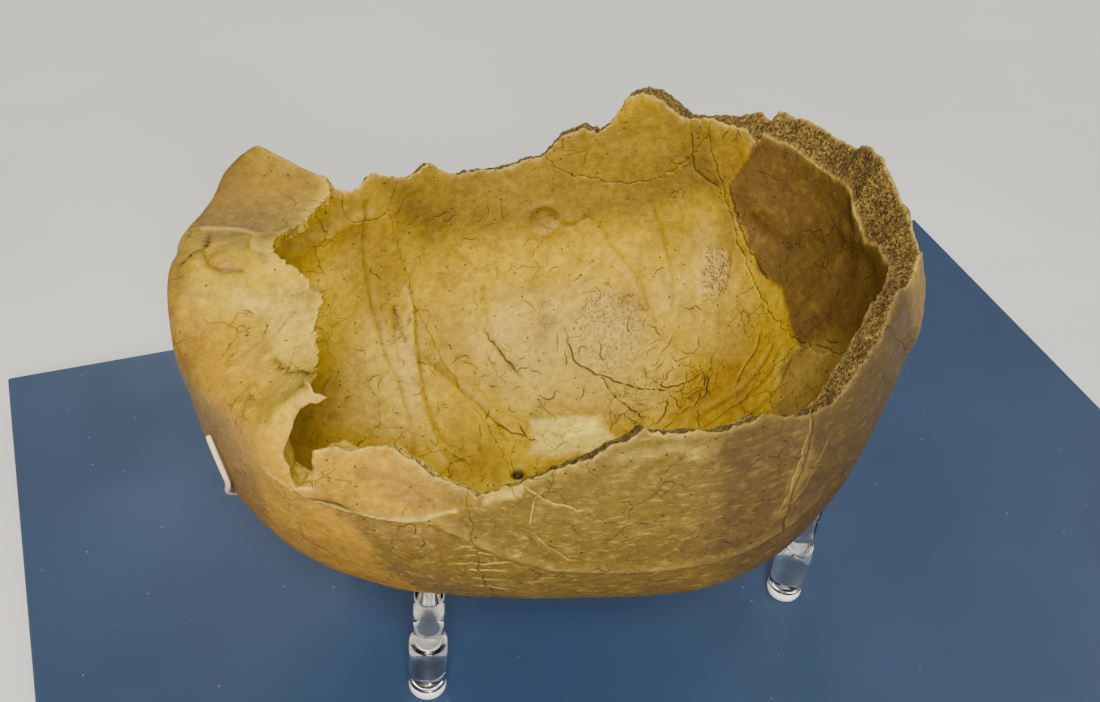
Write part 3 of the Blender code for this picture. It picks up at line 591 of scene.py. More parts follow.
def skull_pose():
    """Matrix from the skull's frame to the board's."""
    turn = Matrix.Rotation(math.radians(SKULL_TURN), 4, "Z")
    pitch = Matrix.Rotation(math.radians(SKULL_PITCH), 4, "Y")
    roll = Matrix.Rotation(math.radians(SKULL_ROLL), 4, "X")
    upside_down = Matrix.Rotation(math.pi, 4, "Y")
    return Matrix.Translation(SKULL_CENTRE) @ turn @ pitch @ roll @ upside_down


def folded(azimuth):
    """Azimuth as the skull's other half mirrors it, 0 to 180."""
    return np.abs((azimuth + 180.0) % 360.0 - 180.0)


def smooth_minimum(a, b, width):
    """The smaller of a and b, rounded over where they cross."""
    mix = np.clip(0.5 + 0.5 * (b - a) / width, 0, 1)
    return b * (1 - mix) + a * mix - width * mix * (1 - mix)


def vault_radius(azimuth, elevation):
    """Radius of the plain rounded braincase."""
    a, e = np.radians(azimuth), np.radians(elevation)
    dx, dy, dz = np.cos(e) * np.cos(a), np.cos(e) * np.sin(a), np.sin(e)
    reach = np.where(dx >= 0, FRONT_REACH, BACK_REACH)
    height = np.where(dz >= 0, CROWN_HEIGHT, BASE_DEPTH)
    terms = np.abs(dx / reach) ** ROUNDNESS
    terms = terms + np.abs(dy / HALF_BREADTH) ** ROUNDNESS
    terms = terms + np.abs(dz / height) ** ROUNDNESS
    return terms ** (-1 / ROUNDNESS)


def swelling(azimuth, elevation):
    """Sum of the named swellings at a direction."""
    total = 0.0
    for centre, level, height, width, tallness in SWELLINGS.values():
        squeeze = np.cos(np.radians(elevation)) / math.cos(math.radians(level))
        across = (folded(azimuth) - centre) * squeeze / width
        along = (elevation - level) / tallness
        total = total + height * np.exp(-0.5 * (across ** 2 + along ** 2))
    return total


def flattening(azimuth, elevation):
    """How far the crown and the slope behind it lie inside the rounded form."""
    crown = CROWN_FLATTENING * np.exp(-0.5 * ((90 - elevation) / CROWN_SPREAD) ** 2)
    side = (180 - folded(azimuth)) * np.cos(np.radians(elevation))
    away = np.hypot(side, elevation - LAMBDA_ELEVATION)
    return crown + LAMBDA_FLATTENING * np.exp(-0.5 * (away / LAMBDA_SPREAD) ** 2)


def roof_radius(azimuth, elevation, lift):
    """Radius of the orbit roofs' lower face, or of the face that lies `lift` nearer the brain."""
    from_middle = folded(azimuth)
    outside = np.maximum(from_middle - ROOF_AZIMUTH, 0) / ROOF_HALF_WIDTH
    drop = ROOF_DROP + SIDE_FALL * (1 - np.exp(-outside ** 4))
    drop = drop + NASAL_RIDGE * np.exp(-(from_middle / NASAL_WIDTH) ** 2)
    across = (from_middle - DOME_AZIMUTH) / DOME_WIDTH
    along = (elevation - DOME_ELEVATION) / DOME_DEPTH
    dome = np.exp(-0.5 * (across ** 2 + along ** 2))
    change = 0.5 - 0.5 * np.tanh(((azimuth + 180) % 360 - 180) / NASAL_WIDTH)
    slope = ROOF_SLOPE_LEFT + (ROOF_SLOPE_RIGHT - ROOF_SLOPE_LEFT) * change
    a, e = np.radians(azimuth), np.radians(np.minimum(elevation, ROOF_TOP))
    fall = slope * np.maximum(np.cos(a), 0) * np.cos(e) - np.sin(e)
    return (drop + slope * ROOF_BACK - ROOF_DOME * dome - lift) / fall


def outer_radius(azimuth, elevation):
    """Centre to the outer face of the bone."""
    vault = vault_radius(azimuth, elevation) + swelling(azimuth, elevation)
    radius = smooth_minimum(vault, roof_radius(azimuth, elevation, 0), BLEND)
    return radius - flattening(azimuth, elevation)


def inner_radius(azimuth, elevation):
    """Centre to the inner face of the bone."""
    vault = vault_radius(azimuth, elevation) + INNER_RELIEF * swelling(azimuth, elevation) - WALL
    radius = smooth_minimum(vault, roof_radius(azimuth, elevation, ROOF_THICKNESS), BLEND)
    return radius - flattening(azimuth, elevation)


def edge_elevation(azimuth):
    """Elevation of the broken edge all round."""
    points = sorted({((a + 180) % 360 - 180, e) for run in EDGE.values() for a, e in run})
    return np.interp(azimuth, *zip(*points), period=360)


def inner_shift(azimuth, elevation):
    """Elevation that the inner face adds to that of the outer one, most at the edge."""
    shift = np.interp(azimuth, *zip(*BEVEL), period=360)
    away = np.clip((elevation - edge_elevation(azimuth)) / BEVEL_REACH, 0, 1)
    return shift * (1 - away) ** 2


def inner_turn(azimuth, elevation):
    """Azimuth that the inner face adds beside the notch, so that its wall is undercut."""
    back = MOUTH_BACK * np.clip((MOUTH - elevation) / MOUTH_DEPTH, 0, 1)
    start = np.clip((azimuth - UNDERCUT_START + back) / UNDERCUT_RISE, 0, 1)
    end = np.clip((UNDERCUT_END - azimuth) / UNDERCUT_FADE, 0, 1)
    below = np.clip((UNDERCUT_TOP - elevation) / UNDERCUT_DEPTH, 0, 1)
    return UNDERCUT * start * end * below


def points_at(azimuth, elevation, radius):
    """Points in the skull's frame."""
    a, e = np.radians(azimuth), np.radians(elevation)
    across = radius * np.cos(e)
    return np.stack([across * np.cos(a), across * np.sin(a), radius * np.sin(e)], -1)


def to_map(directions):
    """Directions on the flat map, in degrees from the crown."""
    azimuth, elevation = np.asarray(directions, float).T
    a = np.radians(azimuth)
    return np.stack([(90 - elevation) * np.cos(a), (90 - elevation) * np.sin(a)], -1)


def from_map(places):
    """Azimuth and elevation of places on the map."""
    azimuth = np.degrees(np.arctan2(places[:, 1], places[:, 0]))
    return azimuth, 90 - np.hypot(places[:, 0], places[:, 1])


# Random relief and lines

def noise(points, size, seed):
    """Smooth random values from -1 to 1 that change over the given size."""
    cell = points / size + 37.7 * seed
    low = np.floor(cell).astype(np.int64)
    blend = cell - low
    blend = blend * blend * (3 - 2 * blend)
    total = np.zeros(len(points))
    for corner in itertools.product((0, 1), repeat=3):
        x, y, z = (low + np.array(corner)).T
        key = (x * 73856093 ^ y * 19349663 ^ z * 83492791) & 0x7FFFFFFF
        key = ((key ^ key >> 13) * 1274126177) & 0x7FFFFFFF
        value = (key >> 8 & 0xFFFF) / 32767.5 - 1
        total += value * np.prod(np.where(corner, blend, 1 - blend), axis=1)
    return total


def layered(points, size, seed, layers=3):
    """Noise with finer and weaker layers on it."""
    return sum(noise(points, size / 2 ** i, seed + i) / 2 ** i for i in range(layers))


def resampled(line, step):
    """A line with a point at each corner and about every step between them."""
    out = [line[:1]]
    for start, end in zip(line[:-1], line[1:]):
        count = max(1, round(float(np.linalg.norm(end - start)) / step))
        out.append(start + (end - start) * np.linspace(0, 1, count + 1)[1:, None])
    return np.concatenate(out)


def rounded(line):
    """A line with its corners cut twice, its ends kept."""
    for _ in range(2):
        near, far = line[:-1], line[1:]
        cut = np.stack([0.75 * near + 0.25 * far, 0.25 * near + 0.75 * far], 1).reshape(-1, 2)
        line = np.concatenate([line[:1], cut[1:-1], line[-1:]])
    return line


def sideways(line):
    """Unit vector to the left of a map line at each of its points."""
    along = np.gradient(line, axis=0)
    along /= np.linalg.norm(along, axis=1)[:, None] + TINY
    return np.stack([-along[:, 1], along[:, 0]], -1)


def stretch(line):
    """How much longer the outer face is than the map, up and down, at each point of a line."""
    azimuth, level = from_map(line)
    low = points_at(azimuth, level - LEVEL_STEP, outer_radius(azimuth, level - LEVEL_STEP))
    high = points_at(azimuth, level + LEVEL_STEP, outer_radius(azimuth, level + LEVEL_STEP))
    return np.maximum(np.linalg.norm(high - low, axis=1) / (2 * LEVEL_STEP * MAP_DEGREE * MM), 1)


def wandering(line, parts, seed, scale=1.0):
    """Map line moved sideways by noise of the given (size, amount) parts, not its sharp corners."""
    spots = np.column_stack([line, np.zeros(len(line))])
    run = np.concatenate([[0], np.cumsum(np.linalg.norm(np.diff(line, axis=0), axis=1))])
    along = np.diff(line, axis=0) / np.linalg.norm(np.diff(line, axis=0), axis=1)[:, None]
    sharp = np.flatnonzero((along[:-1] * along[1:]).sum(axis=1) < SHARP_CORNER) + 1
    stops = run[np.concatenate([[0, len(line) - 1], sharp])]
    fade = np.clip(np.abs(run[:, None] - stops).min(axis=1) / CORNER_CALM, 0, 1)
    shift = sum(amount * noise(spots, size, seed + i) for i, (size, amount) in enumerate(parts))
    return line + sideways(line) * (shift * fade * scale)[:, None]


def inside(places, loop):
    """Which places lie inside the closed loop."""
    result = np.zeros(len(places), bool)
    for start, end in zip(loop, np.roll(loop, -1, 0)):
        crosses = (start[1] > places[:, 1]) != (end[1] > places[:, 1])
        slope = (end[0] - start[0]) / ((end[1] - start[1]) or TINY)
        result ^= crosses & (places[:, 0] < start[0] + slope * (places[:, 1] - start[1]))
    return result


def line_distance(places, line):
    """Distance of each place from a line of points."""
    nearest = np.full(len(places), np.inf)
    for start, end in zip(line[:-1], line[1:]):
        side = end - start
        share = np.clip((places - start) @ side / (side @ side + TINY_SQUARE), 0, 1)
        gap = places - (start + share[:, None] * side)
        nearest = np.minimum(nearest, np.einsum("ij,ij->i", gap, gap))
    return np.sqrt(nearest)


def patch_mask(places, outline, softness):
    """1 inside a map outline and 0 outside it, soft over its edge."""
    loop = to_map(outline)
    away = line_distance(places, np.concatenate([loop, loop[:1]]))
    signed = np.where(inside(places, loop), away, -away)
    return np.clip(0.5 + signed / softness, 0, 1)


# Bone meshes

def suture_line(name, step, wave, seed):
    """Suture with small interlocking waves, the same for both of its bones."""
    line = resampled(rounded(to_map(SUTURES[name])), step)
    return wandering(line, [(size, share * wave) for size, share in SUTURE_WAVES], seed)


def bone_loop(runs, settings):
    """Closed map outline of a bone, and which of its points lie on its broken edge."""
    places, broken = [], []
    for run in runs:
        name = run.lstrip("-")
        seed = RELIEF_SEED + sum(map(ord, name))
        if name in EDGE and run is runs[0]:
            line = resampled(to_map(EDGE[name]), settings.edge_step)
            jag = settings.edge_jag / MM
            parts = [(size, share * jag) for size, share in EDGE_WAVES]
            line = wandering(line, parts, seed, 1 / stretch(line))
        else:
            line = suture_line(name, settings.edge_step, settings.suture_wave / MM, seed)
        line = line[::-1] if run.startswith("-") else line
        places.append(line[:-1])
        broken += [run is runs[0]] * (len(line) - 1)
    loop, broken = np.concatenate(places), np.array(broken)
    inset = np.where(broken, 0, settings.suture_gap / MM)
    return loop + sideways_closed(loop) * inset[:, None], broken


def sideways_closed(loop):
    """Unit vector to the left of a closed loop at each of its points."""
    along = np.roll(loop, -1, 0) - np.roll(loop, 1, 0)
    along /= np.linalg.norm(along, axis=1)[:, None] + TINY
    return np.stack([-along[:, 1], along[:, 0]], -1)


def lattice(step):
    """Map points about a step apart, and evenly along the brow's profile in front."""
    rings, ring, turn = [], RING_START * step, 0.0
    while ring < LAST_RING:
        count = max(LEAST_POINTS, round(2 * math.pi * ring / step))
        angles = (np.arange(count) + turn) * 360 / count
        rings.append(np.column_stack([angles, np.full(count, 90 - ring)]))
        ring, turn = ring + RING_SPACING * step, 0.5 - turn
    rings = np.concatenate(rings)
    front = folded(rings[:, 0]) < BROW_AZIMUTH
    columns = [rings[~(front & (rings[:, 1] < BROW_TOP))]]
    levels = np.linspace(BROW_TOP, BROW_BOTTOM, BROW_SAMPLES)
    for i, azimuth in enumerate(np.arange(-BROW_AZIMUTH, BROW_AZIMUTH, COLUMN_SPACING * step)):
        around = np.full(len(levels), azimuth)
        profile = points_at(around, levels, outer_radius(around, levels))
        run = np.concatenate([[0], np.cumsum(np.linalg.norm(np.diff(profile, axis=0), axis=1))])
        stops = np.arange((0.5 + 0.5 * (i % 2)) * step, run[-1] / MM / BROW_DEGREE, step)
        chosen = np.interp(stops * BROW_DEGREE * MM, run, levels)
        columns.append(np.column_stack([np.full(len(chosen), azimuth), chosen]))
    return to_map(np.concatenate(columns))


def outer_level(azimuth, level):
    """Elevation on the outer face that answers one on the inner face."""
    guess = level
    for _ in range(LEVEL_ROUNDS):
        guess = level - inner_shift(azimuth, guess)
    return guess


def crack_points():
    """Map points along every open crack: place, then cut and darkness of inner and outer face."""
    rng = np.random.default_rng(RELIEF_SEED)
    routes = [("inner", CRACK_HALF, *crack) for crack in INNER_CRACKS]
    routes += [("outer", CRACK_HALF, *crack) for crack in OUTER_CRACKS]
    for face in HAIRLINES:
        routes += [(face, HAIR_HALF, *crack) for crack in hairlines(rng, face)]
    rows = []
    for seed, (face, half, depth, dark, route) in enumerate(routes):
        azimuth, level = np.array(route, float).T
        if face == "inner":
            level = outer_level(azimuth, level)
        line = resampled(rounded(to_map(np.column_stack([azimuth, level]))), CRACK_STEP)
        if len(line) < CRACK_LEAST:
            continue
        line = wandering(line, CRACK_WAVES, CRACK_SEED + seed)
        side = sideways(line)
        index = np.arange(len(line))
        taper = np.clip(np.minimum(index, index[::-1]) / CRACK_TAPER, CRACK_TIP, 1)
        column = 0 if face == "inner" else 2
        for offset, share in ((-1, 0), (0, 1), (1, 0)):
            cut = np.zeros((len(line), 4))
            cut[:, column] = depth * MM * share * taper
            cut[:, column + 1] = dark * share * taper
            rows.append(np.column_stack([line + side * (offset * half), cut]))
    return np.concatenate(rows)


def hairlines(rng, face):
    """Short random cracks of a face: depth, darkness, route."""
    routes = []
    for count, azimuth, level, spread, tallness, steps in HAIRLINES[face]:
        squeeze = max(NARROWEST, math.cos(math.radians(level)))
        for _ in range(count):
            place = np.array([azimuth + rng.normal(0, spread / 2) / squeeze,
                              level + rng.normal(0, tallness / 2)])
            heading = rng.uniform(0, 2 * math.pi)
            route = [tuple(place)]
            for _ in range(int(rng.integers(2, steps + 1))):
                heading += rng.normal(0, HAIR_TURN)
                narrow = max(NARROWEST, math.cos(math.radians(place[1])))
                place += HAIR_STEP * np.array([math.cos(heading) / narrow, math.sin(heading)])
                place[1] = min(place[1], HIGHEST)
                route.append(tuple(place))
            routes.append((rng.uniform(*HAIR_DEPTH), rng.uniform(*HAIR_DARKNESS), route))
    return routes


def near_any(places, others, reach):
    """Which places have one of the others within reach."""
    if not len(places) or not len(others):
        return np.zeros(len(places), bool)
    cell = reach / GRID_CELLS
    low = np.minimum(places.min(axis=0), others.min(axis=0)) - 2 * reach
    high = np.maximum(places.max(axis=0), others.max(axis=0)) + 2 * reach
    grid = np.zeros(np.ceil((high - low) / cell).astype(int) + 1, bool)
    spots = np.round((others - low) / cell).astype(int)
    for i, j in itertools.product(range(-GRID_CELLS, GRID_CELLS + 1), repeat=2):
        if math.hypot(i, j) <= GRID_CELLS + 0.1:
            grid[spots[:, 0] + i, spots[:, 1] + j] = True
    x, y = np.round((places - low) / cell).astype(int).T
    return grid[x, y]


def edge_gaps(places, edge):
    """Distance of each place from the broken edge, as far as EDGE_REACH."""
    gap = np.full(len(places), EDGE_REACH)
    tree = KDTree(len(edge))
    for i, spot in enumerate(edge):
        tree.insert((*spot, 0), i)
    tree.balance()
    for i in np.flatnonzero(near_any(places, edge, EDGE_REACH)):
        gap[i] = tree.find((*places[i], 0))[2]
    return gap


def add_forms(radius, points, forms, face, sign):
    """Radius with the named grooves and ridges of a face, and their darkness, a painted shade."""
    dark = np.zeros(len(radius))
    amount, size, seed = FORM_WARP
    warp = np.stack([layered(points, size * MM, seed + axis, 2) for axis in range(3)], -1)
    place = points + warp * amount * MM
    for _, height, width, painted_shade, route in forms:
        azimuth, level = from_map(resampled(rounded(to_map(route)), FORM_STEP))
        track = points_at(azimuth, level, face(azimuth, level))
        reach = FORM_REACH * width * MM
        low, high = track.min(axis=0) - reach, track.max(axis=0) + reach
        near = np.flatnonzero(((place > low) & (place < high)).all(axis=1))
        if not len(near):
            continue
        away = line_distance(place[near], track) / (width * MM)
        radius[near] += sign * height * MM * np.exp(-0.5 * (away * FORM_SHARPNESS) ** 2)
        dark[near] += painted_shade * np.exp(-0.5 * (away * SHADE_SHARPNESS) ** 2)
    return radius, dark


def relief(points, parts):
    """Lumps and grain of a face, in metres."""
    (height, size, seed), (grain, grain_size, grain_seed) = parts
    lumps = height * layered(points, size * MM, seed)
    return MM * (lumps + grain * noise(points, grain_size * MM, grain_seed))


def ground_tones(masks, azimuth, level):
    """Olive crown and sides and orange forehead of the outer face, added to the masks."""
    (side, side_width), (top, top_width) = OLIVE_AZIMUTH, OLIVE_ELEVATION
    beyond = np.maximum((folded(azimuth) - side) / side_width, (level - top) / top_width)
    beyond = np.clip(beyond, 0, 1)
    low, height = FOREHEAD_ELEVATION
    forehead = (1 - beyond) * np.clip((level - low) / height, 0, 1)
    masks["olive"] = np.maximum(masks["olive"], GROUND_TONE * beyond)
    masks["orange"] = np.maximum(masks["orange"], GROUND_TONE * forehead)


def face_points(azimuth, level, face, forms, patches, cut, cut_dark, edge_gap):
    """Finished points of one face, with its tone values and its wear and painted shade values."""
    is_outer = face is outer_radius
    sign = 1.0 if is_outer else -1.0
    radius = face(azimuth, level)
    plain = points_at(azimuth, level, radius)
    radius, dark = add_forms(radius, plain, forms, face, sign)
    radius = radius + relief(plain, OUTER_RELIEF if is_outer else INNER_FACE_RELIEF) - sign * cut
    depth, change, size, reach, seed = FRAY
    fray = np.exp(-edge_gap / reach)
    radius = radius - sign * MM * fray * (depth + change * noise(plain, size * MM, seed))
    places = to_map(np.column_stack([azimuth, level]))
    amount, size, seed = PATCH_WOBBLE
    wobble = np.stack([layered(plain, size * MM, seed + axis) for axis in range(2)], -1) * amount
    masks = {name: np.zeros(len(places)) for name in (*TONES, "pink", "painted_shade")}
    for name, outlines in patches.items():
        for strength, softness, outline in outlines:
            mask = strength * patch_mask(places + wobble, outline, softness)
            masks[name] = np.maximum(masks[name], mask)
    spongy = np.zeros(len(places))
    if is_outer:
        ground_tones(masks, azimuth, level)
    else:
        for outline, softness, pores, depth in SCRAPED:
            mask = patch_mask(places + SCRAPED_WOBBLE * wobble, outline, softness)
            spongy = np.maximum(spongy, pores * mask)
            radius = radius + depth * MM * mask
            masks["pale"] = np.maximum(masks["pale"], SCRAPED_RIM * pores * mask * (1 - mask))
    # Pale rim along the broken edge: the pale of the fresh break with a painted highlight on it
    strength, reach = PALE_RIM
    masks["pale"] = np.maximum(masks["pale"], strength * np.exp(-edge_gap / reach))
    # Ridges with darkness below 0 get a painted highlight, and cracks with darkness below 0 a pale
    # line
    masks["pale"] = np.maximum(masks["pale"], np.clip(-dark - cut_dark, 0, 1))
    # Dark along the open cracks, and a painted shadow in the drilled hole, where a form's darkness
    # passes 1
    crack = np.clip(np.maximum(cut_dark, dark - 1), 0, 1)
    # Painted shade: the forms' darkness in grooves, and the shade patches of less lit places
    painted_shade = np.maximum(np.clip(dark, 0, 1), masks["painted_shade"])
    tone = np.column_stack([masks[name] for name in TONES])
    wear_and_painted_shade = np.column_stack([crack, spongy, painted_shade, masks["pink"]])
    return points_at(azimuth, level, radius), tone, wear_and_painted_shade


def map_net(name, loop, places):
    """Triangles of the map's places inside a bone's outline, which are the first of them."""
    size = len(loop)
    sides = [(i, (i + 1) % size) for i in range(size)]
    net = delaunay_2d_cdt([Vector(p) for p in places], sides, [], 0, NET_ROUNDING, False)
    if len(net[0]) != len(places):
        raise ValueError(name + ": its outline crosses itself, or two of its points are one")
    triangles = np.array(net[2])
    doubtful = np.flatnonzero((triangles < size).all(axis=1))
    outside = ~inside(places[triangles[doubtful]].mean(axis=1), loop)
    return np.delete(triangles, doubtful[outside], axis=0)


def bone_mesh(name, runs, spots, cracks, settings):
    """Closed shell of one bone with its grooves, cracks and broken walls."""
    loop, broken = bone_loop(runs, settings)
    box = (spots > loop.min(axis=0)).all(axis=1) & (spots < loop.max(axis=0)).all(axis=1)
    local = spots[box]
    local = local[inside(local, loop)]
    local = local[~near_any(local, loop, OUTLINE_ROOM * settings.mesh_step)]
    marks = cracks[inside(cracks[:, :2], loop)]
    marks = marks[~near_any(marks[:, :2], loop, CRACK_EDGE_ROOM)]
    single = np.unique(np.round(marks[:, :2], 2), axis=0, return_index=True)[1]
    marks = marks[np.sort(single)]
    local = local[~near_any(local, marks[:, :2], CRACK_ROOM)]
    places = np.concatenate([loop, local, marks[:, :2]])
    cuts = np.zeros((len(places), 4))
    cuts[len(loop) + len(local):] = marks[:, 2:]
    triangles = map_net(name, loop, places)
    azimuth, elevation = from_map(places)
    gap = edge_gaps(places, loop[broken])
    outer = face_points(azimuth, elevation, outer_radius, OUTER_FORMS, OUTER_PATCHES,
                        cuts[:, 2], cuts[:, 3], gap)
    level = elevation + inner_shift(azimuth, elevation)
    inner = face_points(azimuth + inner_turn(azimuth, elevation), level, inner_radius,
                        INNER_FORMS, INNER_PATCHES, cuts[:, 0], cuts[:, 1], gap)
    return join_shell(name, loop, broken, triangles, outer, inner, settings.wall_rows)


def wall_rows(loop, broken, outer, inner, rows):
    """Points, tones, and wear and painted shade of the rows between the two faces, crumbled where
    the bone broke.
    """
    size = len(loop)
    tops, bottoms = outer[0][:size], inner[0][:size]
    outward = points_at(*from_map(loop - sideways_closed(loop)), 1.0)
    lean = outward - points_at(*from_map(loop), 1.0)
    lean /= np.linalg.norm(lean, axis=1)[:, None]
    azimuth = from_map(loop)[0]
    start, width, least = THIN_WALL
    sponge = np.clip((folded(azimuth) - start) / width, least, 1)
    white = np.interp(azimuth, *zip(*PALE_WALLS), period=360)
    lumps, lump_size, lump_seed = WALL_LUMPS
    pits, pit_size, pit_seed = WALL_PITS
    for row in range(1, rows):
        share = row / rows
        middle = math.sin(math.pi * share)
        wall = tops + (bottoms - tops) * share
        crumble = lumps * layered(wall, lump_size * MM, lump_seed, 2)
        crumble = crumble + pits * noise(wall, pit_size * MM, pit_seed) - WALL_SINK
        wall = wall + lean * (middle * broken * MM * crumble)[:, None]
        spongy = broken * min(1.0, WALL_PORES * middle) * sponge
        tone = outer[1][:size] * (1 - share) + inner[1][:size] * share
        tone[:, 0] = np.maximum(tone[:, 0], WALL_BROWN * broken * sponge)
        # Pale of the fresh break on the walls, with a painted highlight on it
        tone[:, 2] = broken * white
        none = np.zeros(size)
        # The spongy part of the broken wall gets painted shade too
        yield wall, tone, np.column_stack([none, spongy, WALL_SHADE * spongy, none])


def join_shell(name, loop, broken, triangles, outer, inner, rows):
    """Mesh of the two faces and the wall between them."""
    size, count = len(loop), len(outer[0])
    points, tones, wear_and_painted_shade_sets = zip(outer, inner, *wall_rows(loop, broken, outer, inner, rows))
    index = np.arange(size)
    following = (index + 1) % size
    starts = [0] + [2 * count + size * (row - 1) for row in range(1, rows)] + [count]
    faces = [triangles, triangles[:, ::-1] + count]
    for upper, lower in zip(starts[:-1], starts[1:]):
        a, b, c, d = index + upper, following + upper, following + lower, index + lower
        faces += [np.column_stack([b, a, d]), np.column_stack([b, d, c])]
    pose = np.array(skull_pose())
    world = np.concatenate(points) @ pose[:3, :3].T + pose[:3, 3]
    mesh = bpy.data.meshes.new(name)
    mesh.from_pydata(world.tolist(), [], np.concatenate(faces).tolist())
    for label, values in (("tone", tones), ("wear_and_painted_shade", wear_and_painted_shade_sets)):
        layer = mesh.attributes.new(label, "FLOAT_COLOR", "POINT")
        layer.data.foreach_set("color", np.concatenate(values).astype(np.float32).ravel())
    return faced_outward(mesh)


def faced_outward(mesh):
    """The same closed mesh with every face turned outward and shaded smooth."""
    shape = bmesh.new()
    shape.from_mesh(mesh)
    bmesh.ops.recalc_face_normals(shape, faces=shape.faces)
    shape.to_mesh(mesh)
    shape.free()
    mesh.shade_smooth()
    return mesh


# Materials

def add(tree, kind, links=None, out=None, **settings):
    """Node with its settings and its socket values or links, or one output of it."""
    node = tree.nodes.new("ShaderNode" + kind)
    for key, value in settings.items():
        setattr(node, key, value)
    for socket, value in (links or {}).items():
        if isinstance(value, bpy.types.NodeSocket):
            tree.links.new(value, node.inputs[socket])
        else:
            node.inputs[socket].default_value = value
    return node if out is None else node.outputs[out]


def blank_material(name):
    """Material with an empty node tree, that tree, and the place on the object in metres."""
    made = bpy.data.materials.new(name)
    made.use_nodes = True
    tree = made.node_tree
    tree.nodes.clear()
    return made, tree, add(tree, "TexCoord", None, "Object")


def per_size(millimetres):
    """Texture scale whose pattern repeats over a real size."""
    return 1.0 / (millimetres * MM)


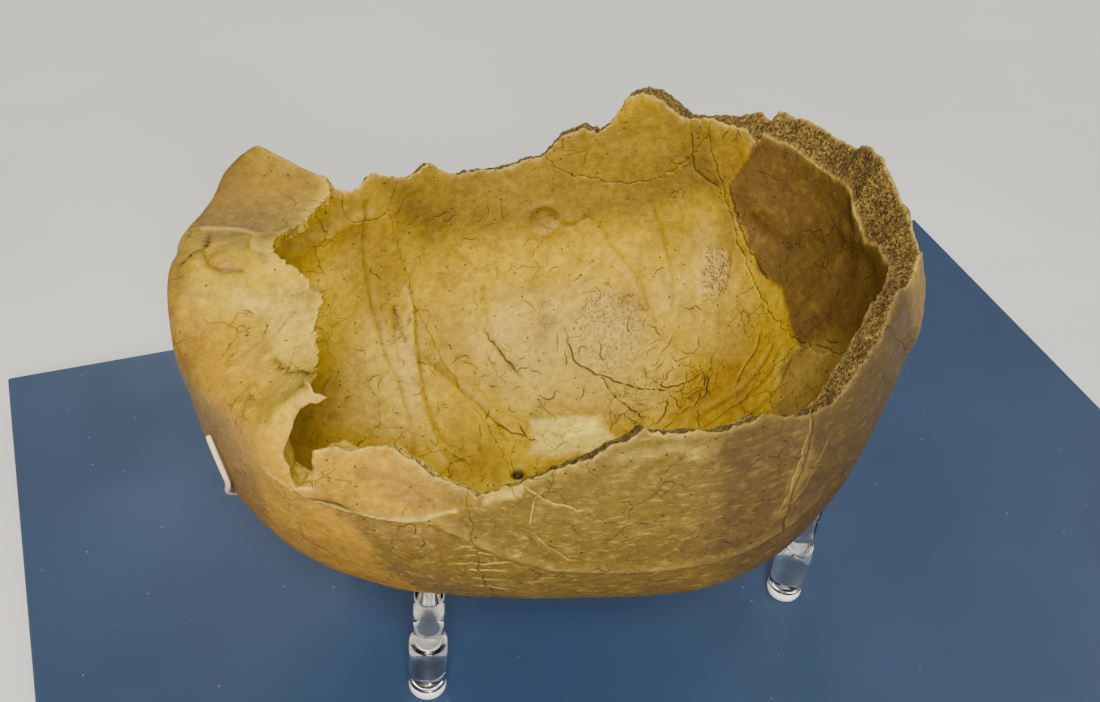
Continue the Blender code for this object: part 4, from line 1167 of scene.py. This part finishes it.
def fossil_bone(name, colours):
    """Mineralised bone: dry and chalky under a thin wax, in stained yellow, orange and brown.

    Its surface has pores, dark specks under a millimetre wide and crazing. Broken edges show the
    spongy middle layer as dark pores between lighter struts.
    """
    made, tree, place = blank_material(name)
    tone = add(tree, "Attribute", attribute_name="tone")
    wear_and_painted_shade = add(tree, "Attribute", attribute_name="wear_and_painted_shade")
    brown, orange, pale = add(tree, "SeparateColor", {0: tone.outputs["Color"]}).outputs
    crack, spongy, painted_shade = add(tree, "SeparateColor", {0: wear_and_painted_shade.outputs["Color"]}).outputs
    colour = {field: (*getattr(colours, field), 1) for field in (
        "khaki", "khaki_deep", "brown", "orange", "olive", "pink", "pale", "painted_highlight", "umber")}

    # Clouds of each size in millimetres, then their detail and roughness
    cloud = {}
    for size, detail, rough in ((26, 4, 0.55), (14, 2, 0.55), (9, 6, 0.65), (5, 5, 0.6),
                                (3, 5, 0.55), (2.4, 6, 0.7), (0.7, 3, 0.6)):
        cloud[size] = add(tree, "TexNoise", {
            "Vector": place, "Scale": per_size(size), "Detail": detail, "Roughness": rough}, "Fac")
    stretched = add(tree, "VectorMath", {0: place, 1: (0.25, 1, 1)}, 0, operation="MULTIPLY")
    cloud["streak"] = add(tree, "TexNoise", {
        "Vector": stretched, "Scale": per_size(1.1), "Detail": 4.0, "Roughness": 0.6}, "Fac")
    spread = {}
    for field, size, low, high, least, most in (
            ("broad", 26, 0.35, 0.68, 0, 1), ("stain", 9, 0.52, 0.74, 0, 0.55),
            ("light", 5, 0.55, 0.76, 0, 0.16), ("mottle", 2.4, 0.3, 0.7, 0.62, 1.18),
            ("speck", 0.7, 0.58, 0.72, 0, 1), ("fleck", 0.7, 0.5, 0.36, 0, 0.6),
            ("scratch", "streak", 0.54, 0.7, 0, 0.28),
            ("where", 14, 0.5, 0.62, 0, 1), ("dull", 3, 0.3, 0.7, 0.46, 0.7)):
        spread[field] = add(tree, "MapRange", {
            0: cloud[size], 1: low, 2: high, 3: least, 4: most}, 0)

    # Crazing in plates of about 8 mm, drawn 0.15 mm wide so that it shows, pinholes of about
    # 0.4 mm, a few in each square centimetre, and spongy bone with holes of about 1 mm
    drift = add(tree, "TexNoise", {"Vector": place, "Scale": per_size(6), "Detail": 3.0}, "Color")
    bend = add(tree, "VectorMath", {0: drift, 1: (6 * MM,) * 3}, 0, operation="MULTIPLY")
    bent = add(tree, "VectorMath", {0: place, 1: bend}, 0, operation="ADD")
    plates = add(tree, "TexVoronoi", {"Vector": bent, "Scale": per_size(8)}, "Distance",
                 feature="DISTANCE_TO_EDGE")
    crazing = add(tree, "MapRange", {0: plates, 1: 0.0, 2: 0.028, 3: 1.0, 4: 0.0}, 0)
    crazing = add(tree, "Math", {0: crazing, 1: spread["where"]}, 0, operation="MULTIPLY")
    dots = add(tree, "TexVoronoi", {"Vector": place, "Scale": per_size(1.9)})
    picked = add(tree, "SeparateColor", {0: dots.outputs["Color"]}, 0)
    few = add(tree, "Math", {0: picked, 1: 0.22}, 0, operation="LESS_THAN")
    dot = add(tree, "MapRange", {0: dots.outputs["Distance"], 1: 0.1, 2: 0.2, 3: 1.0, 4: 0.0}, 0)
    dot = add(tree, "Math", {0: dot, 1: few}, 0, operation="MULTIPLY")
    cells = add(tree, "TexVoronoi", {"Vector": bent, "Scale": per_size(1.0)}, "Distance")
    hole = add(tree, "MapRange", {0: cells, 1: 0.22, 2: 0.5, 3: 1.0, 4: 0.0}, 0)
    hole = add(tree, "Math", {0: hole, 1: spongy}, 0, operation="MULTIPLY")
    strut = add(tree, "Math", {0: spread["fleck"], 1: spongy}, 0, operation="MULTIPLY")
    scratch = add(tree, "Math", {0: spread["scratch"], 1: tone.outputs["Alpha"]}, 0,
                  operation="MULTIPLY")
    # Painted highlight: where the pale mask passes 1, in the bright patch, it turns to the
    # highlight colour
    highlight_core = add(tree, "MapRange", {0: pale, 1: 1.0, 2: 2.0}, 0)
    crack = add(tree, "MapRange", {0: crack, 1: 0.0, 2: 0.6}, 0)

    # Stains one over another, with the painted highlight's core last, then the fine mottling, then
    # the dark marks: crazing, specks, pinholes, pores, painted shade and cracks
    base = colour["khaki"]
    for share, field in ((spread["broad"], "khaki_deep"), (orange, "orange"),
                         (tone.outputs["Alpha"], "olive"), (brown, "brown"),
                         (wear_and_painted_shade.outputs["Alpha"], "pink"), (pale, "pale"),
                         (spread["stain"], "brown"), (spread["light"], "pale"),
                         (scratch, "pale"), (strut, "pale"), (highlight_core, "painted_highlight")):
        base = add(tree, "Mix", {0: share, 6: base, 7: colour[field]}, 2, data_type="RGBA")
    grey = add(tree, "CombineColor", {i: spread["mottle"] for i in range(3)}, 0)
    base = add(tree, "Mix", {0: 1.0, 6: base, 7: grey}, 2, data_type="RGBA",
               blend_type="MULTIPLY")
    for mark, strength in ((crazing, 0.6), (spread["speck"], 0.3), (dot, 0.8), (hole, 0.6),
                           (painted_shade, 0.75), (crack, 0.9)):
        share = add(tree, "Math", {0: mark, 1: strength}, 0, operation="MULTIPLY")
        base = add(tree, "Mix", {0: share, 6: base, 7: colour["umber"]}, 2, data_type="RGBA")

    # Fine relief: grain, lumps, and the same marks sunk
    relief = cloud[0.7]
    for mark, depth in ((cloud[2.4], 1.2), (crazing, -0.8), (dot, -1.2), (hole, -2.6)):
        relief = add(tree, "Math", {0: mark, 1: depth, 2: relief}, 0, operation="MULTIPLY_ADD")
    bump = add(tree, "Bump", {"Height": relief, "Strength": 0.75, "Distance": 0.24 * MM}, 0)
    rough = add(tree, "Math", {0: spongy, 1: spread["dull"]}, 0, operation="MAXIMUM")
    shader = add(tree, "BsdfPrincipled", {
        "Base Color": base, "Roughness": rough, "Normal": bump, "Specular IOR Level": 0.3}, 0)
    add(tree, "OutputMaterial", {0: shader})
    return made


def clear_acrylic(name, colour):
    """Cast acrylic rod: polished and water clear, with faint smears that dull it here and there."""
    made, tree, place = blank_material(name)
    smear = add(tree, "TexNoise", {"Vector": place, "Scale": per_size(9), "Detail": 3.0}, "Fac")
    rough = add(tree, "MapRange", {0: smear, 1: 0.4, 2: 0.7, 3: 0.01, 4: 0.06}, 0)
    shader = add(tree, "BsdfPrincipled", {
        "Base Color": (*colour, 1), "Roughness": rough, "Transmission Weight": 1.0,
        "IOR": 1.49}, 0)
    add(tree, "OutputMaterial", {0: shader})
    return made


def painted_board(name, colour, dark, dust):
    """Fibreboard with a sprayed satin paint: even, with faint orange peel and specks of dust."""
    made, tree, place = blank_material(name)
    cloud = add(tree, "TexNoise", {"Vector": place, "Scale": per_size(60), "Detail": 5.0}, "Fac")
    share = add(tree, "MapRange", {0: cloud, 1: 0.3, 2: 0.7}, 0)
    base = add(tree, "Mix", {0: share, 6: (*colour, 1), 7: (*dark, 1)}, 2, data_type="RGBA")
    specks = add(tree, "TexVoronoi", {"Vector": place, "Scale": per_size(7)}, "Distance")
    share = add(tree, "MapRange", {0: specks, 1: 0.02, 2: 0.05, 3: 0.35, 4: 0.0}, 0)
    base = add(tree, "Mix", {0: share, 6: base, 7: (*dust, 1)}, 2, data_type="RGBA")
    peel = add(tree, "TexNoise", {"Vector": place, "Scale": per_size(1.2), "Detail": 2.0}, "Fac")
    bump = add(tree, "Bump", {"Height": peel, "Strength": 0.25, "Distance": 0.1 * MM}, 0)
    rough = add(tree, "MapRange", {0: cloud, 1: 0.3, 2: 0.7, 3: 0.42, 4: 0.54}, 0)
    shader = add(tree, "BsdfPrincipled", {
        "Base Color": base, "Roughness": rough, "Normal": bump}, 0)
    add(tree, "OutputMaterial", {0: shader})
    return made


def clouded(name, colour, roughness, size):
    """Even matt or satin stuff, such as cast resin, nylon or paper, with faint clouding."""
    made, tree, place = blank_material(name)
    cloud = add(tree, "TexNoise", {"Vector": place, "Scale": per_size(size), "Detail": 3.0}, "Fac")
    value = add(tree, "MapRange", {0: cloud, 1: 0.3, 2: 0.7, 3: 0.9, 4: 1.05}, 0)
    grey = add(tree, "CombineColor", {i: value for i in range(3)}, 0)
    base = add(tree, "Mix", {0: 1.0, 6: (*colour, 1), 7: grey}, 2, data_type="RGBA",
               blend_type="MULTIPLY")
    shader = add(tree, "BsdfPrincipled", {"Base Color": base, "Roughness": roughness}, 0)
    add(tree, "OutputMaterial", {0: shader})
    return made


# Settings

def length(name, description, default, least, most):
    """Length setting, from values in millimetres."""
    return FloatProperty(name=name, description=description, default=default * MM,
                         min=least * MM, max=most * MM, unit="LENGTH")


def tint(name, description, value):
    """Colour setting, from an sRGB hex value."""
    return FloatVectorProperty(name=name, description=description,
                               default=hex_colour(value), size=3, subtype="COLOR")


class BoneSettings(bpy.types.PropertyGroup):
    """Sizes and colours of the bones."""

    mesh_step: FloatProperty(
        name="Mesh step", description="Spacing of mesh points, degrees from the centre",
        default=0.6, min=0.3, max=3.0)
    edge_step: FloatProperty(
        name="Edge step", description="Spacing of points along outlines, degrees",
        default=0.45, min=0.2, max=3.0)
    edge_jag: length("Edge jag", "How far the broken edge wanders", 0.9, 0, 5)
    suture_wave: length("Suture wave", "How far the sutures wander", 0.8, 0, 5)
    suture_gap: length("Suture gap", "Half of the open line along a suture", 0.05, 0, 1)
    wall_rows: IntProperty(
        name="Wall rows", description="Rows of faces across the broken wall",
        default=10, min=2, max=30)
    khaki: tint("Khaki", "Inner face of the front and sides", 0xC2A010)
    khaki_deep: tint("Deep khaki", "Darker clouds of the inner face", 0x957610)
    brown: tint("Brown", "Back of the head and stains", 0x654C24)
    orange: tint("Orange", "Forehead and brow", 0xB28212)
    pale: tint("Pale", "Fresh breaks, fillings and rubbed places", 0xDCBF58)
    # Colour of the painted highlight's core
    painted_highlight: tint("Cream", "Core of the bright patch", 0xFAEA62)
    olive: tint("Olive", "Outside of the sides and crown", 0x5F4B16)
    pink: tint("Pinkish grey", "Scraped spongy patches", 0xA5834A)
    # Umber darkens cracks, pores, specks and pinholes, and is also the colour of the painted shade
    umber: tint("Umber", "Dirt in cracks and pores", 0x2A1C0A)


class StandSettings(bpy.types.PropertyGroup):
    """Sizes and colours of the board, the rods and the prong."""

    rod_radius: length("Rod radius", "Radius of a rod below its step", 5.25, 1, 20)
    neck_radius: length("Neck radius", "Radius of a rod above its step", 4.1, 1, 20)
    step_height: length("Step height", "Height of the step above the board", 21, 1, 100)
    # The foot is a white disc that paints the glow of light refracted at the rod's foot
    foot_height: length(
        "Foot height", "Height of the white bonding layer at a rod's foot",
        2.6, 0.5, 10)
    prong_radius: length("Prong radius", "Radius of the finger on the forehead", 0.65, 0.2, 3)
    board: tint("Board", "Blue paint", 0x253B59)
    board_dark: tint("Board, darker", "Clouds in the blue paint", 0x20344F)
    dust: tint("Dust", "Specks on the board", 0xBCC3CE)
    acrylic: FloatVectorProperty(
        name="Acrylic", description="Clear rods", default=(0.97, 0.99, 0.99), size=3,
        subtype="COLOR")
    # White of the painted glow at each rod's foot
    foot: tint("Foot", "White bonding layer", 0xF6F4EA)
    prong: tint("Prong", "Off-white finger", 0xDCC9A2)


class StageSettings(bpy.types.PropertyGroup):
    """Floor, light and camera."""

    floor: tint("Floor", "Pale floor", 0xD9D8D4)
    camera_height: length("Camera height", "Height of the camera above the floor", 318.6, 50, 3000)


# Operators

def place_piece(name, data, body, material, slot=None, nodes=()):
    """Object in the scene that rides on a body."""
    piece = bpy.data.objects.new(name, data)
    bpy.context.scene.collection.objects.link(piece)
    data.materials.append(material)
    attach(piece, body)
    if nodes:
        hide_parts(*nodes)
    return piece


class FOSSIL_OT_bones(bpy.types.Operator):
    """Make the six bones with their grooves, cracks and broken edges"""

    bl_idname = "fossil.bones"
    bl_label = "Bones"

    def execute(self, context):
        settings = context.scene.fossil_bones
        spots = lattice(settings.mesh_step)
        cracks = crack_points()
        for name, runs in BONES.items():
            mesh = bone_mesh(name + "_fossil", runs, spots, cracks, settings)
            finish = fossil_bone(SLOTS[name] + "_mineralised", settings)
            place_piece(name + "_fossil", mesh, "root", finish, SLOTS[name], (name,))
        return {"FINISHED"}


class FOSSIL_OT_rods(bpy.types.Operator):
    """Make the turned acrylic rods and the white discs at their feet, a painted glow of refracted
    light
    """

    bl_idname = "fossil.rods"
    bl_label = "Rods"

    def execute(self, context):
        settings = context.scene.fossil_stand
        clear = clear_acrylic("cast_acrylic", settings.acrylic)
        # White discs at the rods' feet: a painted glow
        white = clouded("painted_glow_white", settings.foot, 0.35, 4)
        for name in ("stand_rod_front", "stand_rod_right", "stand_rod_left", "stand_rod_back"):
            low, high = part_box(name)
            x, y = (low[0] + high[0]) / 2, (low[1] + high[1]) / 2
            rod = turned(name + "_acrylic", rod_profile(settings, low[2], high[2]), ROD_SIDES)
            piece = place_piece(name + "_acrylic", rod, "root", clear, "clear_acrylic", (name,))
            piece.location = (x, y, 0)
            profile = [(out * settings.rod_radius, low[2] + up * settings.foot_height)
                       for out, up in FOOT_PROFILE]
            disc = turned(name + "_painted_glow_foot", profile, ROD_SIDES)
            piece = place_piece(name + "_painted_glow_foot", disc, "root", white, "clear_acrylic")
            piece.location = (x, y, 0)
        return {"FINISHED"}


def rod_profile(settings, foot, top):
    """Half section of a rod with polished, slightly rounded edges."""
    wide, neck, edge = settings.rod_radius, settings.neck_radius, ROD_EDGE
    step = foot + settings.step_height
    start = foot + settings.foot_height * FOOT_ROOM
    profile = [(0, start), (wide - edge, start), (wide, start + edge)]
    if top - step > SHORTEST_NECK:
        profile += [(wide, step - edge), (wide - edge, step), (neck + edge, step + NECK_RISE),
                    (neck, step + edge)]
    else:
        neck = wide
    profile += [(neck, top - 2 * edge), (neck - ROD_TOP_SHARE * edge, top - edge)]
    return profile + [(neck - edge, top), (0, top)]


def turned(name, profile, sides):
    """Closed mesh turned from a half section."""
    points = [(0, 0, profile[0][1])]
    faces = []
    for radius, height in profile[1:-1]:
        for i in range(sides):
            angle = 2 * math.pi * i / sides
            points.append((radius * math.cos(angle), radius * math.sin(angle), height))
    points.append((0, 0, profile[-1][1]))
    rings = len(profile) - 2
    for i in range(sides):
        j = (i + 1) % sides
        faces.append((0, 1 + j, 1 + i))
        for ring in range(rings - 1):
            low, high = 1 + ring * sides, 1 + (ring + 1) * sides
            faces.append((low + i, low + j, high + j, high + i))
        last = 1 + (rings - 1) * sides
        faces.append((last + i, last + j, len(points) - 1))
    mesh = bpy.data.meshes.new(name)
    mesh.from_pydata(points, [], faces)
    mesh.shade_smooth()
    mesh.set_sharp_from_angle(angle=math.radians(SHARP_ANGLE))
    return mesh


class FOSSIL_OT_prong(bpy.types.Operator):
    """Make the finger that rests on the forehead"""

    bl_idname = "fossil.prong"
    bl_label = "Prong"

    def execute(self, context):
        settings = context.scene.fossil_stand
        radius = settings.prong_radius
        azimuth, level = resampled(rounded(np.array(PRONG_ROUTE, float)), PRONG_STEP).T
        reach = outer_radius(azimuth, level) + radius + PRONG_LIFT
        pose = np.array(skull_pose())
        path = points_at(azimuth, level, reach) @ pose[:3, :3].T + pose[:3, 3]
        low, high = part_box("stand_rod_left")
        axis = np.array([(low[0] + high[0]) / 2, (low[1] + high[1]) / 2, high[2] - PRONG_DROP])
        outward = (path[-1] - axis) * (1, 1, 0)
        outward /= np.linalg.norm(outward)
        path = np.vstack([path, axis + outward * (settings.neck_radius + PRONG_REST)])
        finish = clouded("off_white_nylon", settings.prong, 0.4, 3)
        mesh = swept("stand_prong_nylon", path, radius, PRONG_SIDES)
        place_piece("stand_prong_nylon", mesh, "root", finish, "pale_prong", ("stand_prong",))
        return {"FINISHED"}


def swept(name, path, radius, sides):
    """Closed round bar along a path, its ends rounded."""
    along = np.gradient(path, axis=0)
    along /= np.linalg.norm(along, axis=1)[:, None]
    across = np.cross(along, (0, 0, 1))
    across /= np.linalg.norm(across, axis=1)[:, None]
    third = np.cross(along, across)
    bends = np.radians(ROUND_END)
    rings = [(path[0] - along[0] * radius * math.sin(bend), 0, math.cos(bend))
             for bend in bends[::-1]]
    rings += [(path[i], i, 1.0) for i in range(1, len(path) - 1)]
    rings += [(path[-1] + along[-1] * radius * FLAT_END * math.sin(bend), -1, math.cos(bend))
              for bend in bends]
    angles = 2 * math.pi * np.arange(sides) / sides
    points, faces = [], []
    for centre, i, share in rings:
        ring = np.outer(np.cos(angles), across[i]) + np.outer(np.sin(angles), third[i])
        points += (centre + ring * radius * share).tolist()
    for low in range(0, (len(rings) - 1) * sides, sides):
        for i in range(sides):
            j = (i + 1) % sides
            faces.append((low + i, low + j, low + sides + j, low + sides + i))
    faces += [tuple(range(sides))[::-1], tuple(range(len(points) - sides, len(points)))]
    mesh = bpy.data.meshes.new(name)
    mesh.from_pydata(points, [], faces)
    return faced_outward(mesh)


class FOSSIL_OT_board(bpy.types.Operator):
    """Paint the board"""

    bl_idname = "fossil.board"
    bl_label = "Board"

    def execute(self, context):
        settings = context.scene.fossil_stand
        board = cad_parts["stand_base"]
        board.data.materials.clear()
        board.data.materials.append(
            painted_board("satin_painted_fibreboard", settings.board, settings.board_dark,
                          settings.dust))
        return {"FINISHED"}


class FOSSIL_OT_stage(bpy.types.Operator):
    """Make the pale floor, the soft lights and the camera"""

    bl_idname = "fossil.stage"
    bl_label = "Stage"

    def execute(self, context):
        settings = context.scene.fossil_stage
        shape = bmesh.new()
        bmesh.ops.create_grid(shape, x_segments=1, y_segments=1, size=FLOOR_HALF)
        mesh = bpy.data.meshes.new("floor")
        shape.to_mesh(mesh)
        shape.free()
        floor = bpy.data.objects.new("floor", mesh)
        floor.location.z = -FLOOR_DROP
        mesh.materials.append(clouded("matt_backdrop_paper", settings.floor, 0.9, 200))
        context.scene.collection.objects.link(floor)
        floor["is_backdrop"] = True
        world = bpy.data.worlds.new("soft_room")
        world.use_nodes = True
        glow = world.node_tree.nodes["Background"]
        glow.inputs["Color"].default_value = ROOM_COLOUR
        glow.inputs["Strength"].default_value = ROOM_LIGHT
        context.scene.world = world
        for name, (place, size, power, colour) in LIGHTS.items():
            light = bpy.data.lights.new(name, "AREA")
            light.shape = "DISK"
            light.size = size
            light.energy = power
            light.color = colour
            lamp = bpy.data.objects.new(name, light)
            lamp.location = place
            aim = LIGHT_TARGET - lamp.location
            lamp.rotation_euler = aim.to_track_quat("-Z", "Y").to_euler()
            context.scene.collection.objects.link(lamp)
        add_camera(context.scene, settings.camera_height)
        return {"FINISHED"}


def add_camera(scene, height):
    """Camera at the photograph's place, turn, tilt and roll."""
    data = bpy.data.cameras.new("camera")
    data.sensor_width = SENSOR
    data.lens = FOCAL_PIXELS / IMAGE_WIDTH * SENSOR
    data.clip_start = NEAREST
    camera = bpy.data.objects.new("camera", data)
    down, roll = math.radians(CAMERA_DOWN), math.radians(CAMERA_ROLL)
    level = Vector((1, 0, 0))
    rise = Vector((0, math.sin(down), math.cos(down)))
    right = math.cos(roll) * level + math.sin(roll) * rise
    up = math.cos(roll) * rise - math.sin(roll) * level
    turn = Matrix.Rotation(math.radians(CAMERA_TURN), 3, "Z")
    right, up = turn @ right, turn @ up
    axes = Matrix((right, up, right.cross(up))).transposed()
    camera.matrix_world = Matrix.Translation((*CAMERA_PLACE, height)) @ axes.to_4x4()
    scene.collection.objects.link(camera)
    scene.camera = camera


class FOSSIL_PT_panel(bpy.types.Panel):
    """Lists the pieces of the fossil braincase"""

    bl_idname = "FOSSIL_PT_panel"
    bl_label = "Fossil braincase"
    bl_space_type = "VIEW_3D"
    bl_region_type = "UI"
    bl_category = "Fossil"

    def draw(self, context):
        for operator in OPERATORS:
            self.layout.operator(operator.bl_idname)
        for group in (context.scene.fossil_bones, context.scene.fossil_stand,
                      context.scene.fossil_stage):
            box = self.layout.box()
            for field in group.__annotations__:
                box.prop(group, field)


OPERATORS = (FOSSIL_OT_stage, FOSSIL_OT_bones, FOSSIL_OT_rods, FOSSIL_OT_prong, FOSSIL_OT_board)
CLASSES = (BoneSettings, StandSettings, StageSettings, *OPERATORS, FOSSIL_PT_panel)


def register():
    """Register the classes and hang the settings on the scene."""
    for item in CLASSES:
        bpy.utils.register_class(item)
    bpy.types.Scene.fossil_bones = PointerProperty(type=BoneSettings)
    bpy.types.Scene.fossil_stand = PointerProperty(type=StandSettings)
    bpy.types.Scene.fossil_stage = PointerProperty(type=StageSettings)


def unregister():
    """Undo register."""
    del bpy.types.Scene.fossil_stage
    del bpy.types.Scene.fossil_stand
    del bpy.types.Scene.fossil_bones
    for item in reversed(CLASSES):
        bpy.utils.unregister_class(item)


def main():
    """Make every piece, and work out the size of the frame and of the dressed model."""
    register()
    bpy.ops.fossil.stage()
    bpy.ops.fossil.bones()
    bpy.ops.fossil.rods()
    bpy.ops.fossil.prong()
    bpy.ops.fossil.board()
    bpy.context.view_layer.update()
    sizes = {"cad": cad_bounds, "visual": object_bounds()}
    plain = {key: [[float(v) for v in corner] for corner in box] for key, box in sizes.items()}


if __name__ == "__main__":
    main()
